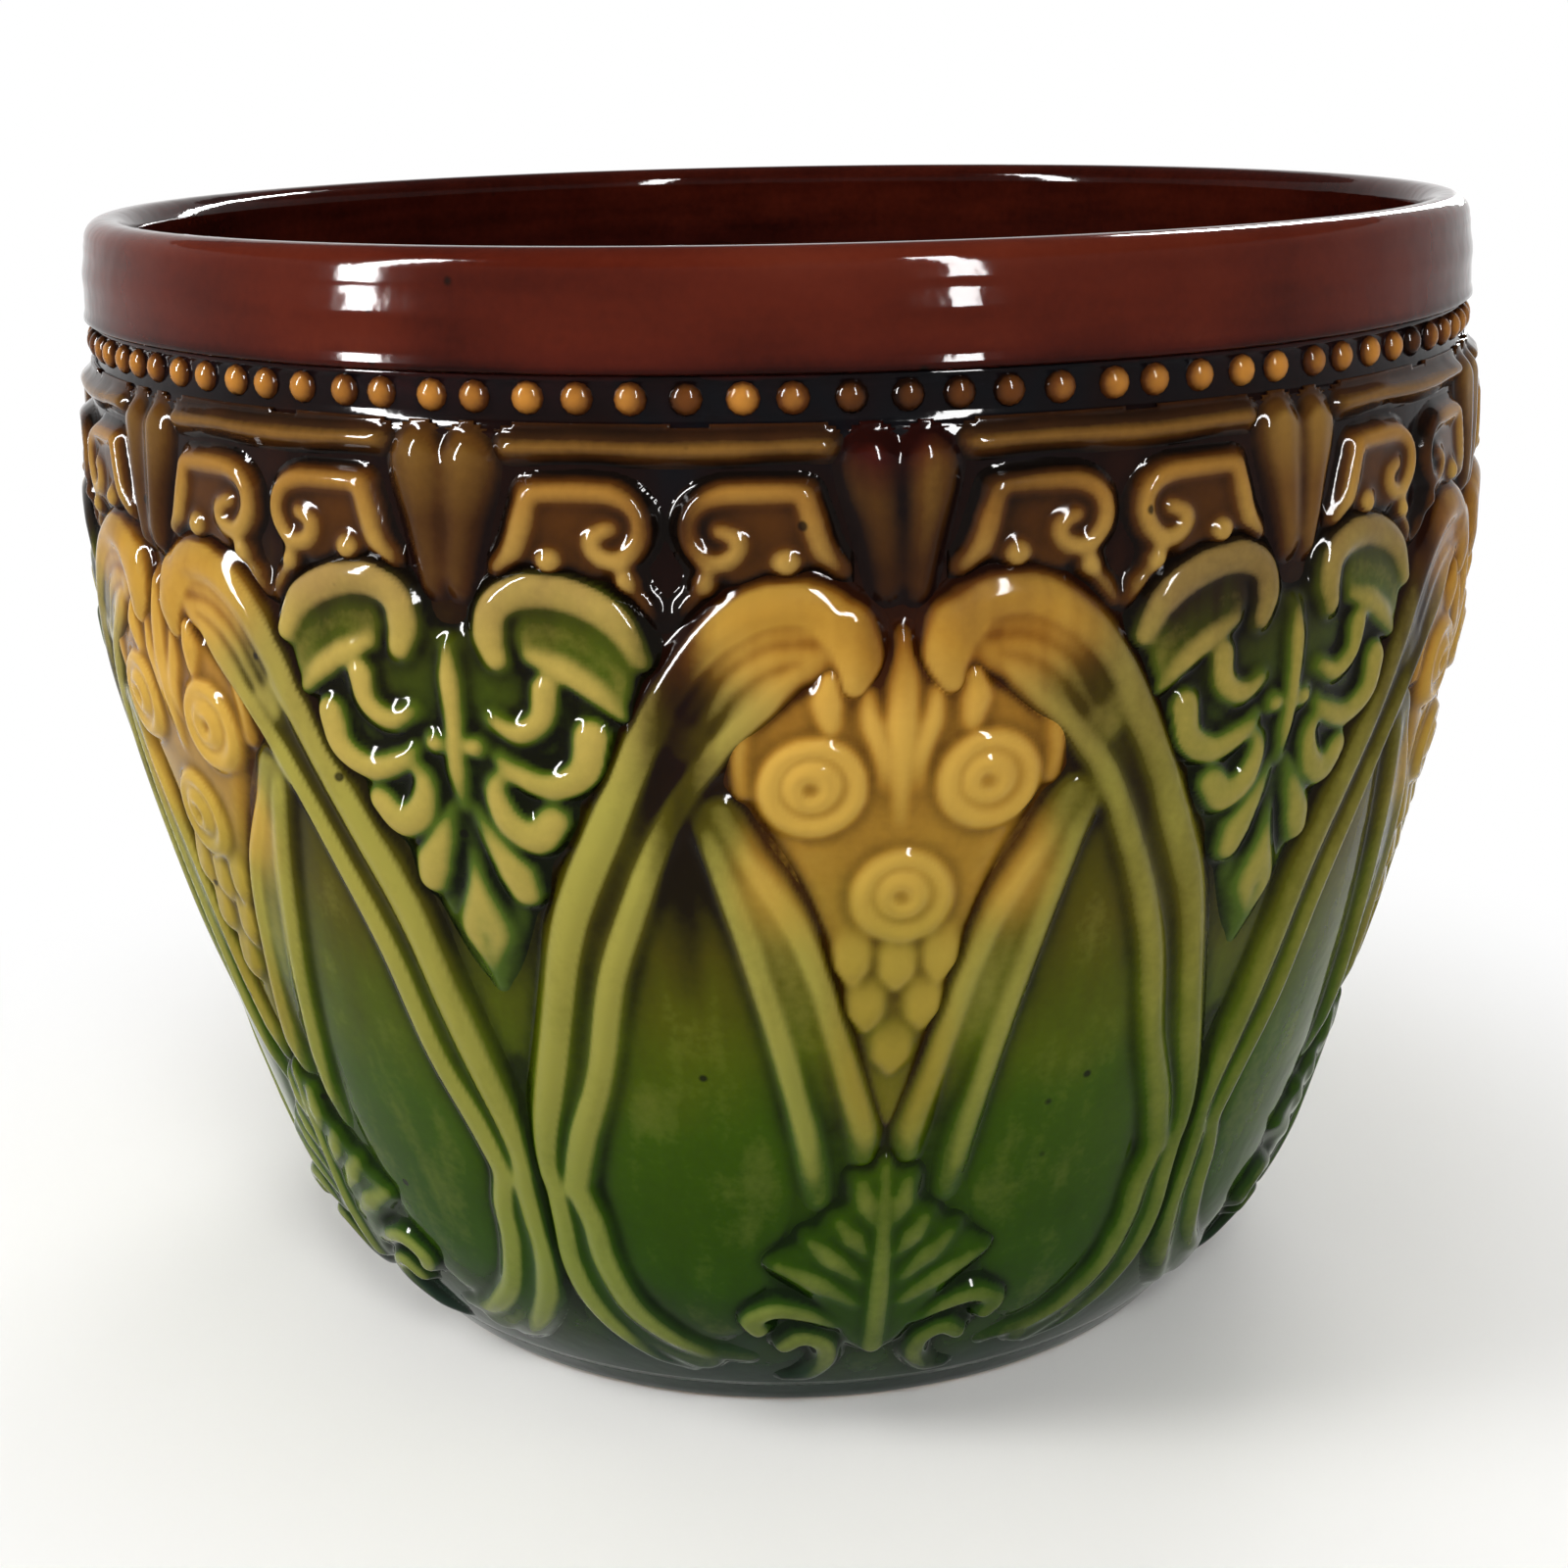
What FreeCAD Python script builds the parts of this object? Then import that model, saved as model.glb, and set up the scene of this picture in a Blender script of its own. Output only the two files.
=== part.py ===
import FreeCAD, Part
import math
import os

import Sketcher
from FreeCAD import Placement, Rotation, Vector

# Majolica jardiniere: a thrown earthenware bowl on a foot ring, with a rim collar, a bead course
# and six repeats of moulded relief luted onto the outside of the wall.
# Frame: +Z up, millimetres, origin under the middle of the foot. The middle of the first
# flower spray faces -Y, and angles grow from -Y towards +X.

SIZES = {
    # overall pot
    "height": 233.0,
    "rim_radius": 141.0,
    "wall": 9.0,
    "lip_radius": 4.0,
    "collar_height": 19.5,
    "collar_step": 0.9,
    # wall curve, from the foot ring up: radius outside and level of each knot
    "base_radius": 97.0,
    "haunch_radius": 116.2,
    "haunch_level": 42.0,
    "shoulder_radius": 140.7,
    "shoulder_level": 140.0,
    "belly_radius": 143.3,
    "belly_level": 168.0,
    "neck_radius": 141.5,
    # foot and floor
    "foot_radius": 91.5,
    "foot_height": 7.0,
    "foot_width": 17.0,
    "foot_edge": 1.5,
    "floor_thickness": 11.0,
    "floor_radius": 92.0,
    # bead course under the collar
    "bead_count": 102,
    "bead_radius": 2.9,
    "bead_gap": 0.8,
    "bead_stand": 0.5,
    # relief field between the plain foot band and the bead course
    "panel_count": 6,
    "foot_band": 5.0,
    "bead_band": 8.5,
    "relief_ground": 0.9,
    "relief_strap": 2.2,
    "relief_leaf": 3.0,
    "relief_ridge": 3.6,
    "rosette_radius": 8.7,
    "rosette_relief": 4.2,
    "pearl_radius": 2.4,
    "seat_depth": 1.0,
}

# The relief is drawn once, on a panel 60 degrees wide whose field runs from level 12 to level 205,
# and is then fitted to the panel and the field that the sizes give.
DRAWN_PANEL = 60.0
DRAWN_BOTTOM = 12.0
DRAWN_TOP = 205.0

doc = FreeCAD.newDocument("jardiniere")
sheet = doc.addObject("Spreadsheet::Sheet", "Sizes")
for row, (alias, value) in enumerate(SIZES.items(), start=1):
    sheet.set(f"A{row}", alias)
    sheet.set(f"B{row}", str(value))
    sheet.setAlias(f"B{row}", alias)
doc.recompute()


def size(alias):
    return float(sheet.get(alias))


neck_level = size("height") - size("collar_height")
floor_level = size("foot_height") + size("floor_thickness")
field_bottom = size("foot_height") + size("foot_band")
field_top = neck_level - size("bead_band")
panel_angle = 360.0 / size("panel_count")
drawing_scale = (field_top - field_bottom) / (DRAWN_TOP - DRAWN_BOTTOM)


# Wall curve: tangent arcs through the knots, with an upright tangent at the belly

def tangent_arc(point, lean, other):
    """Centre and radius of the arc through two points, leaving the first one at this lean."""
    inward = (-math.cos(lean), math.sin(lean))
    across = (point[0] - other[0], point[1] - other[1])
    radius = -(across[0] ** 2 + across[1] ** 2) / (2 * (across[0] * inward[0] + across[1] * inward[1]))
    return point[0] + radius * inward[0], point[1] + radius * inward[1], radius


def lean_at(arc, point):
    return math.atan2(arc[1] - point[1], point[0] - arc[0])


def wall_arcs(knots):
    """Arcs from the lowest knot to the highest as (centre r, centre z, radius, low, high)."""
    base, haunch, shoulder, belly, neck = knots
    belly_arc = tangent_arc(belly, 0.0, shoulder)
    side_arc = tangent_arc(shoulder, lean_at(belly_arc, shoulder), haunch)
    foot_arc = tangent_arc(haunch, lean_at(side_arc, haunch), base)
    neck_arc = tangent_arc(belly, 0.0, neck)
    spans = ((foot_arc, base, haunch), (side_arc, haunch, shoulder),
             (belly_arc, shoulder, belly), (neck_arc, belly, neck))
    return [(arc[0], arc[1], arc[2], -lean_at(arc, low), -lean_at(arc, high)) for arc, low, high in spans]


outer_knots = ((size("base_radius"), size("foot_height")),
               (size("haunch_radius"), size("haunch_level")),
               (size("shoulder_radius"), size("shoulder_level")),
               (size("belly_radius"), size("belly_level")),
               (size("neck_radius"), neck_level))
inner_knots = ((size("floor_radius"), floor_level),) + tuple(
    (radius - size("wall"), level) for radius, level in outer_knots[1:])
outer_arcs = wall_arcs(outer_knots)
inner_arcs = wall_arcs(inner_knots)


def wall_at(level):
    """Outside radius of the wall at a level, and the lean of its normal above the horizontal."""
    for centre_r, centre_z, radius, low, high in outer_arcs:
        if level <= centre_z + radius * math.sin(high) + 1e-6:
            break
    lean = math.asin((level - centre_z) / radius)
    return centre_r + radius * math.cos(lean), lean


# Turned pieces: a profile sketch in the upright plane, revolved about the axis

def turned_body(label):
    body = doc.addObject("PartDesign::Body", label)
    body.Label = label
    sketch = body.newObject("Sketcher::SketchObject", label + "_profile")
    upright = [plane for plane in body.Origin.OriginFeatures if plane.Role == "XZ_Plane"][0]
    sketch.AttachmentSupport = [(upright, "")]
    sketch.MapMode = "FlatFace"
    return body, sketch


def add_line(sketch, start, end):
    return sketch.addGeometry(Part.LineSegment(Vector(*start, 0), Vector(*end, 0)), False)


def add_arc(sketch, arc):
    circle = Part.Circle(Vector(arc[0], arc[1], 0), Vector(0, 0, 1), arc[2])
    return sketch.addGeometry(Part.ArcOfCircle(circle, arc[3], arc[4]), False)


def join(sketch, first, second):
    sketch.addConstraint(Sketcher.Constraint("Coincident", *first, *second))


def pin_point(sketch, point, name, spot, texts):
    """Ties one end of a sketch line to the sheet: its radius and its level."""
    for direction, what, value, text in zip("XY", ("radius", "level"), spot, texts):
        pin = Sketcher.Constraint("Distance" + direction, -1, 1, *point, value)
        sketch.renameConstraint(sketch.addConstraint(pin), f"{name}_{what}")
        sketch.setExpression(f"Constraints.{name}_{what}", text)


def revolve(body, sketch):
    feature = body.newObject("PartDesign::Revolution", body.Label + "_turned")
    feature.Profile = sketch
    feature.ReferenceAxis = (sketch, ["V_Axis"])
    feature.Angle = 360.0
    return feature


def add_wall_chain(sketch, arcs, knots, names, radii, levels):
    """One side of the wall: tangent arcs pinned at their knots. Returns the arcs' indices."""
    chain = [add_arc(sketch, arc) for arc in arcs]
    for below, above in zip(chain, chain[1:]):
        sketch.addConstraint(Sketcher.Constraint("Tangent", below, 2, above, 1))
    sketch.addConstraint(Sketcher.Constraint("Horizontal", chain[2], 3, chain[2], 2))
    ends = [(chain[0], 1)] + [(index, 2) for index in chain]
    for end, name, knot, *texts in zip(ends, names, knots, radii, levels):
        pin_point(sketch, end, name, knot, texts)
    return chain


NECK_LEVEL = "Sizes.height - Sizes.collar_height"
KNOTS = ("haunch", "shoulder", "belly")


def make_bowl():
    body, sketch = turned_body("bowl")
    levels = [f"Sizes.{knot}_level" for knot in KNOTS] + [NECK_LEVEL]
    outside = add_wall_chain(
        sketch, outer_arcs, outer_knots, ("base",) + KNOTS + ("neck",),
        ["Sizes.base_radius"] + [f"Sizes.{knot}_radius" for knot in KNOTS + ("neck",)],
        ["Sizes.foot_height"] + levels)
    inside = add_wall_chain(
        sketch, inner_arcs, inner_knots, ("floor", "haunch_in", "shoulder_in", "belly_in", "neck_in"),
        ["Sizes.floor_radius"] + [f"Sizes.{knot}_radius - Sizes.wall" for knot in KNOTS + ("neck",)],
        ["Sizes.foot_height + Sizes.floor_thickness"] + levels)
    top = add_line(sketch, inner_knots[-1], outer_knots[-1])
    floor = add_line(sketch, (0, floor_level), inner_knots[0])
    middle = add_line(sketch, (0, size("foot_height")), (0, floor_level))
    under = add_line(sketch, (0, size("foot_height")), outer_knots[0])
    join(sketch, (top, 1), (inside[-1], 2))
    join(sketch, (top, 2), (outside[-1], 2))
    join(sketch, (floor, 2), (inside[0], 1))
    join(sketch, (middle, 2), (floor, 1))
    join(sketch, (middle, 1), (under, 1))
    join(sketch, (under, 2), (outside[0], 1))
    for line in (floor, under):
        sketch.addConstraint(Sketcher.Constraint("Horizontal", line))
        sketch.addConstraint(Sketcher.Constraint("PointOnObject", line, 1, -2))
    revolve(body, sketch)
    return body


def make_ring(label, corners):
    """A turned ring with four corners, each (name, radius, level, radius text, level text)."""
    body, sketch = turned_body(label)
    lines = []
    for corner, following in zip(corners, corners[1:] + corners[:1]):
        lines.append(add_line(sketch, corner[1:3], following[1:3]))
    for line, following in zip(lines, lines[1:] + lines[:1]):
        join(sketch, (line, 2), (following, 1))
    for line, corner in zip(lines, corners):
        pin_point(sketch, (line, 1), corner[0], corner[1:3], corner[3:5])
    return body, revolve(body, sketch)


def round_edges(body, feature, name, level, radius_text):
    """Rounds the circular edges of a turned ring that lie at this level."""
    doc.recompute()
    edges = []
    for index, edge in enumerate(feature.Shape.Edges, start=1):
        box = edge.BoundBox
        if box.ZLength < 1e-6 and abs(box.ZMin - level) < 1e-6:
            edges.append(f"Edge{index}")
    rounding = body.newObject("PartDesign::Fillet", name)
    rounding.Base = (feature, edges)
    rounding.setExpression("Radius", radius_text)
    return rounding


def make_foot_ring():
    inner = size("foot_radius") - size("foot_width")
    inner_text = "Sizes.foot_radius - Sizes.foot_width"
    corners = [
        ("inner_bottom", inner, 0.0, inner_text, "0"),
        ("outer_bottom", size("foot_radius"), 0.0, "Sizes.foot_radius", "0"),
        ("outer_top", size("base_radius"), size("foot_height"), "Sizes.base_radius", "Sizes.foot_height"),
        ("inner_top", inner, size("foot_height"), inner_text, "Sizes.foot_height"),
    ]
    body, turned = make_ring("foot_ring", corners)
    round_edges(body, turned, "foot_rounding", 0.0, "min(Sizes.foot_edge; 0.4 * Sizes.foot_width)")
    return body


def make_rim_collar():
    low_outer = size("neck_radius") + size("collar_step")
    low_inner = size("neck_radius") - size("wall")
    top_inner = size("rim_radius") - size("wall")
    corners = [
        ("inner_bottom", low_inner, neck_level, "Sizes.neck_radius - Sizes.wall", NECK_LEVEL),
        ("outer_bottom", low_outer, neck_level, "Sizes.neck_radius + Sizes.collar_step", NECK_LEVEL),
        ("outer_top", size("rim_radius"), size("height"), "Sizes.rim_radius", "Sizes.height"),
        ("inner_top", top_inner, size("height"), "Sizes.rim_radius - Sizes.wall", "Sizes.height"),
    ]
    body, turned = make_ring("rim_collar", corners)
    round_edges(body, turned, "lip_rounding", size("height"), "min(Sizes.lip_radius; 0.45 * Sizes.wall)")
    return body


# Relief: each moulded sprig is drawn as flat outlines, cut out of a skin of its own height
# that follows the wall, and seated on the wall's outside

SECTOR = 36.0


def turned_sector(wire):
    """The solid swept by an upright profile over a sector either side of -Y."""
    start = wire.copy()
    start.rotate(Vector(0, 0, 0), Vector(0, 0, 1), -90.0 - SECTOR)
    return Part.Face(start).revolve(Vector(0, 0, 0), Vector(0, 0, 1), 2 * SECTOR)


def chain_points(offset):
    """Ends and middles of the wall's arcs, moved out by an offset, as points of the XZ plane."""
    rows = []
    for centre_r, centre_z, radius, low, high in outer_arcs:
        rows.append([Vector(centre_r + (radius + offset) * math.cos(angle), 0,
                            centre_z + (radius + offset) * math.sin(angle))
                     for angle in (low, (low + high) / 2, high)])
    return rows


def chain_edges(offset):
    return [Part.Arc(*points).toShape() for points in chain_points(offset)]


def relief_skin(height, depth):
    outside = chain_points(height)
    inside = chain_points(-depth)
    edges = chain_edges(height) + chain_edges(-depth)
    edges.append(Part.makeLine(outside[0][0], inside[0][0]))
    edges.append(Part.makeLine(outside[-1][2], inside[-1][2]))
    return turned_sector(Part.Wire(Part.__sortEdges__(edges)))


def wall_mass():
    """The wall's outside as one mass, which gives every sprig its seat."""
    points = chain_points(0.0)
    low, high = points[0][0], points[-1][2]
    core_low = Vector(low.x / 2, 0, low.z)
    core_high = Vector(low.x / 2, 0, high.z)
    edges = chain_edges(0.0)
    edges.append(Part.makeLine(low, core_low))
    edges.append(Part.makeLine(core_low, core_high))
    edges.append(Part.makeLine(core_high, high))
    return turned_sector(Part.Wire(Part.__sortEdges__(edges)))


seat = wall_mass()
SKINS = {name: relief_skin(size("relief_" + name), size("seat_depth") * (1 + 0.2 * order))
         for order, name in enumerate(("ground", "strap", "leaf", "ridge"))}


def drawn_point(angle, level, middle):
    """A drawn point on the flat drawing plane in front of a sprig whose middle is at this angle."""
    level = field_bottom + (level - DRAWN_BOTTOM) * drawing_scale
    turn = math.radians((angle - middle) * panel_angle / DRAWN_PANEL)
    return Vector(wall_at(level)[0] * math.sin(turn), 0, level)


def smooth_wire(points):
    curve = Part.BSplineCurve()
    curve.interpolate(Points=points, PeriodicFlag=True)
    return Part.Wire(curve.toShape())


def stroke_points(centres, widths):
    """Outline of a stroke: its centre line moved to both sides by a changing half width."""
    line = Part.BSplineCurve()
    line.interpolate(Points=centres)
    steps = 2 * len(centres) - 1
    left, right = [], []
    for step in range(steps):
        share = step / (steps - 1)
        parameter = line.FirstParameter + share * (line.LastParameter - line.FirstParameter)
        point = line.value(parameter)
        along = line.tangent(parameter)[0]
        across = Vector(-along.z, 0, along.x)
        place = share * (len(widths) - 1)
        below = min(int(place), len(widths) - 2)
        width = widths[below] + (place - below) * (widths[below + 1] - widths[below])
        width *= drawing_scale
        left.append(point + across * width)
        right.append(point - across * width)
        if step == 0:
            tail = point - along * width
        tip = point + along * width
    return left + [tip] + right[::-1] + [tail]


def raised(points, level):
    """A flat outline pushed out through the skin of one relief level."""
    near = size("base_radius") / 2
    far = 2 * size("belly_radius")
    face = Part.Face(smooth_wire([Vector(point.x, -near, point.z) for point in points]))
    return face.extrude(Vector(0, near - far, 0)).common(SKINS[level])


def lobe(middle, level, outline):
    return raised([drawn_point(angle, height, middle) for angle, height in outline], level)


def stroke(middle, level, centre, widths):
    centres = [drawn_point(angle, height, middle) for angle, height in centre]
    return raised(stroke_points(centres, widths), level)


def turned_boss(middle, angle, level, profile):
    """A small turned boss standing square on the wall, from its half profile (radius, height)."""
    point = drawn_point(angle, level, middle)
    radius, lean = wall_at(point.z)
    turn = math.asin(point.x / radius)
    outline = [Vector(across, 0, height) for across, height in profile]
    boss = Part.Face(Part.makePolygon(outline + outline[:1])).revolve(Vector(0, 0, 0), Vector(0, 0, 1), 360)
    normal = Vector(math.sin(turn) * math.cos(lean), -math.cos(turn) * math.cos(lean), math.sin(lean))
    spot = Vector(radius * math.sin(turn), -radius * math.cos(turn), point.z)
    boss.Placement = Placement(spot, Rotation(Vector(0, 0, 1), normal))
    return boss


def rosette(middle, angle, level):
    """A dished disc with a raised ring and a dimple in its middle."""
    radius, top = size("rosette_radius"), size("rosette_relief")
    below = -2 * size("seat_depth")
    profile = ((0, below), (radius, below), (radius, 0.5 * top), (0.92 * radius, 0.72 * top),
               (0.76 * radius, 0.6 * top), (0.66 * radius, 0.88 * top), (0.54 * radius, top),
               (0.36 * radius, 0.86 * top), (0.17 * radius, 0.62 * top), (0, 0.6 * top))
    return turned_boss(middle, angle, level, profile)


def pearl(middle, angle, level):
    """A small domed boss."""
    radius = size("pearl_radius")
    steps = 4
    dome = [(radius * math.cos(step * math.pi / 2 / steps), radius * math.sin(step * math.pi / 2 / steps))
            for step in range(steps)]
    profile = [(0, -1.5 * size("seat_depth")), (radius, -1.5 * size("seat_depth"))] + dome + [(0, radius)]
    return turned_boss(middle, angle, level, profile)


def seated(pieces):
    """The pieces of one sprig, joined and cut to the wall that carries them."""
    joined = pieces[0].multiFuse(pieces[1:]) if len(pieces) > 1 else pieces[0]
    return joined.cut(seat).removeSplitter()


def mirrored(middle, points):
    return [(2 * middle - angle, level) for angle, level in points]


def both_sides(middle, make, points, *rest):
    return [make(middle, rest[0], side, *rest[1:]) for side in (points, mirrored(middle, points))]


def fillet_bar():
    middle = DRAWN_PANEL / 4
    centre = [(angle, 202.6) for angle in (4.7, 5.4, 8, 15, 22, 24.6, 25.3)]
    return seated([stroke(middle, "strap", centre, (1.3, 1.3))])


def tongue():
    """A fluted drop: a two-lobed head that tapers to a point."""
    body = ((0, 202.6), (1.8, 203.6), (3.2, 200), (2.3, 192), (1.4, 184), (0, 177.5),
            (-1.4, 184), (-2.3, 192), (-3.2, 200), (-1.8, 203.6))
    flutes = both_sides(0, stroke, ((1.7, 200.4), (1.15, 192), (0.75, 184)), "ridge", (2.0, 1.6, 1.0))
    return seated([lobe(0, "strap", body)] + flutes)


def volute_bracket():
    """Two facing brackets whose ends roll into eyes over a pointed drop."""
    middle = DRAWN_PANEL / 4
    arm = ((5.2, 187), (5.8, 193.6), (9, 195.6), (12.2, 194.6), (13.3, 190.4))
    drop = ((14.6, 178), (13.9, 181.6), (13.5, 185.4))
    web = ((15, 175.6), (17.4, 184), (18.4, 191), (15, 189.6), (11.6, 191), (12.6, 184))
    pieces = [lobe(middle, "ground", web)]
    pieces += both_sides(middle, stroke, arm, "leaf", (1.4, 1.8, 1.8, 1.5))
    pieces += both_sides(middle, stroke, drop, "ridge", (1.0, 1.3))
    pieces += [pearl(middle, angle, 188) for angle in (11.6, 2 * middle - 11.6)]
    return seated(pieces)


def leaf_panel():
    """A pointed pod between two double-ribbed straps, one of which arches over towards the flower."""
    middle = DRAWN_PANEL / 4
    pod = ((14.6, 147), (17.9, 128), (20.2, 108), (22, 92), (24.2, 72), (24.6, 50), (21.4, 30.5),
           (17, 24), (12.6, 30), (9.6, 48), (7.6, 68), (8.8, 92), (10.2, 110), (12.4, 130))
    arch = ((20.5, 13.6), (25.2, 20.5), (28, 30), (29.3, 42), (29.5, 57), (29.3, 71), (27.3, 90),
            (24.9, 110), (21.9, 130), (18.4, 150), (14, 169.5), (8.4, 180.6), (3.4, 180), (3.8, 174.5),
            (7.5, 170.5), (11, 158.5), (14.8, 140), (18.2, 120), (20.2, 100), (22.6, 82), (24.5, 68),
            (24.8, 52), (23.6, 37), (20.6, 27.2), (17, 21.6), (14.4, 17))
    vee = ((1.9, 71.5), (2.6, 80), (4.1, 100), (6.5, 120), (10.6, 140), (12.6, 151.5), (14.3, 141),
           (11.6, 120), (9.3, 100), (7.7, 80), (6.9, 66), (5.6, 61.6), (3.2, 66))
    ribs = (
        (((28.6, 66), (28.2, 78), (25.6, 100), (23, 120), (20, 140), (16, 159), (10.8, 175.5), (5, 178)),
         (0.9, 1.2, 1.2, 1.3, 1.2)),
        (((25.4, 72), (22.2, 90), (20.2, 110), (17.6, 130), (13.6, 150), (10, 163)), (0.9, 1.2, 1.2, 1.1)),
        (((28.4, 60), (28.6, 46), (26.6, 29), (20.6, 16)), (0.9, 1.2, 1.1)),
        (((25.5, 56), (25.3, 45), (22.2, 30), (16, 19.8)), (0.9, 1.1, 1.0)),
        (((2.6, 73), (3.6, 90), (5.4, 110), (8.9, 130), (12, 147)), (0.9, 1.2, 1.0)),
        (((6.3, 64), (7.3, 80), (9.2, 101), (11.4, 120), (13.8, 139)), (0.9, 1.2, 1.0)),
    )
    pieces = [lobe(middle, "ground", pod), lobe(middle, "strap", arch), lobe(middle, "strap", vee)]
    pieces += [stroke(middle, "ridge", centre, widths) for centre, widths in ribs]
    pieces.append(pearl(middle, 3.6, 172))
    return seated(pieces)


def flower_spray():
    """Three rosettes round a bud, over a pendant of overlapping scales."""
    ground = ((0, 161), (4.5, 159), (8.6, 154), (8.6, 142), (4.6, 124), (3.4, 108), (0, 92),
              (-3.4, 108), (-4.6, 124), (-8.6, 142), (-8.6, 154), (-4.5, 159))
    pieces = [lobe(0, "ground", ground)]
    pieces += [rosette(0, angle, level) for angle, level in ((-5.6, 148), (5.6, 148), (0, 127.5))]
    pieces.append(stroke(0, "leaf", ((0, 164), (0, 157), (0, 150)), (1.6, 3.2, 2.4)))
    pieces += both_sides(0, stroke, ((1.6, 163), (4.3, 160.5), (6.6, 158.6)), "strap", (1.4, 2.2, 1.2))
    rows = (("strap", 115.8, (-2.8, 2.8)), ("leaf", 113.5, (0,)), ("strap", 105.5, (-1.9, 1.9)),
            ("leaf", 97.5, (0,)))
    for level_name, level, angles in rows:
        for angle in angles:
            scale = ((angle, level + 6), (angle, level), (angle, level - 4.2))
            pieces.append(stroke(0, level_name, scale, (3.4, 3.8, 1.2)))
    return seated(pieces)


def palmette():
    """A spine with paired scrolling leaves above a hanging lozenge."""
    ground = ((0, 172), (5, 171), (11, 168), (10.4, 157), (7.2, 146), (4.6, 128), (0, 108),
              (-4.6, 128), (-7.2, 146), (-10.4, 157), (-11, 168), (-5, 171))
    spine = ((0, 169), (0, 158), (0, 142))
    lozenge = ((0, 133), (1.6, 125), (2.1, 118), (0, 105.5), (-2.1, 118), (-1.6, 125))
    leaves = (
        ("leaf", ((0.9, 139), (3, 132), (4.2, 125.5)), (1.8, 2.4, 1.2)),
        ("ridge", ((1.9, 146), (3.4, 137.6), (6.2, 138)), (1.5, 1.8, 1.6)),
        ("leaf", ((2.8, 149.5), (6.4, 145.4), (8.6, 152.5)), (1.4, 1.9, 1.7)),
        ("ridge", ((2.4, 155.4), (4.4, 157.5), (5.4, 161.6)), (1.3, 1.8, 1.4)),
        ("ridge", ((4.9, 175), (8.4, 178.8), (11.6, 173.6), (12.2, 165), (10.2, 157.6)), (1.8, 2.6, 2.6, 1.4)),
        ("leaf", ((5.6, 168), (8.2, 165), (10, 159)), (1.2, 1.8, 1.2)),
    )
    pieces = [lobe(0, "ground", ground), stroke(0, "ridge", spine, (2.4, 2.8, 1.8)), lobe(0, "leaf", lozenge)]
    for level, centre, widths in leaves:
        pieces += both_sides(0, stroke, centre, level, widths)
    pieces += [pearl(0, angle, 167.5) for angle in (-3, 3)]
    return seated(pieces)


def foot_leaf():
    """An acanthus leaf that rises from two pairs of volutes at the foot."""
    blade = ((0, 69), (1.2, 65), (3.2, 58.5), (6, 54), (8.2, 47), (6.2, 39), (3.4, 32), (0, 24),
             (-3.4, 32), (-6.2, 39), (-8.2, 47), (-6, 54), (-3.2, 58.5), (-1.2, 65))
    veins = (
        ("leaf", ((0.5, 40), (3.6, 45), (7, 46.5)), (1.2, 2.2, 1.4)),
        ("leaf", ((0.5, 46), (2.6, 51), (4.8, 53)), (1.2, 1.9, 1.2)),
        ("leaf", ((2, 34), (5.4, 38), (9.2, 35)), (1.2, 1.8, 1.4)),
        ("leaf", ((1, 27), (4.2, 28.5), (7.4, 23.5), (6.4, 16)), (1.4, 1.9, 1.7, 1.2)),
    )
    pieces = [lobe(0, "strap", blade), stroke(0, "ridge", ((0, 64), (0, 46), (0, 24)), (1.2, 2.2, 2.6))]
    for level, centre, widths in veins:
        pieces += both_sides(0, stroke, centre, level, widths)
    return seated(pieces)


def solid(label, shape, angle):
    """One sprig as a document object, turned to its place round the pot."""
    piece = doc.addObject("Part::Feature", label)
    piece.Label = label
    piece.Shape = shape
    piece.Placement = Placement(Vector(0, 0, 0), Rotation(Vector(0, 0, 1), angle))
    return piece


def ring_of(shape, count, first):
    """Copies of a shape spaced evenly round the axis, as one group of separate solids."""
    copies = []
    for index in range(count):
        copy = shape.copy()
        copy.rotate(Vector(0, 0, 0), Vector(0, 0, 1), first + index * 360.0 / count)
        copies.append(copy)
    return Part.makeCompound(copies)


def make_bead_course(bowl):
    """A ring of beads under the collar, each a ball cut to its seat on the neck of the wall."""
    ball = doc.addObject("Part::Sphere", "bead_ball")
    ball.setExpression("Radius", "Sizes.bead_radius")
    level = neck_level - size("bead_gap") - size("bead_radius")
    ball.Placement = Placement(Vector(0, -wall_at(level)[0] - size("bead_stand"), level), Rotation())
    ball.setExpression("Placement.Base.z", f"{NECK_LEVEL} - Sizes.bead_gap - Sizes.bead_radius")
    bead = doc.addObject("Part::Cut", "bead")
    bead.Base = ball
    bead.Tool = bowl
    doc.recompute()
    return solid("bead_course", ring_of(bead.Shape, int(size("bead_count")), 0.0), 0.0)


bowl = make_bowl()
doc.recompute()
nodes = [bowl, make_foot_ring(), make_rim_collar(), make_bead_course(bowl)]

panels = int(size("panel_count"))
half_panel = panel_angle / 2
nodes.append(solid("fillet_course", ring_of(fillet_bar(), 2 * panels, half_panel / 2), 0.0))

tongue_shape = tongue()
bracket_shape = volute_bracket()
right_panel = leaf_panel()
panel_shapes = (right_panel, right_panel.mirror(Vector(0, 0, 0), Vector(1, 0, 0)))
flower_shape = flower_spray()
palmette_shape = palmette()
foot_leaf_shape = foot_leaf()

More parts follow.
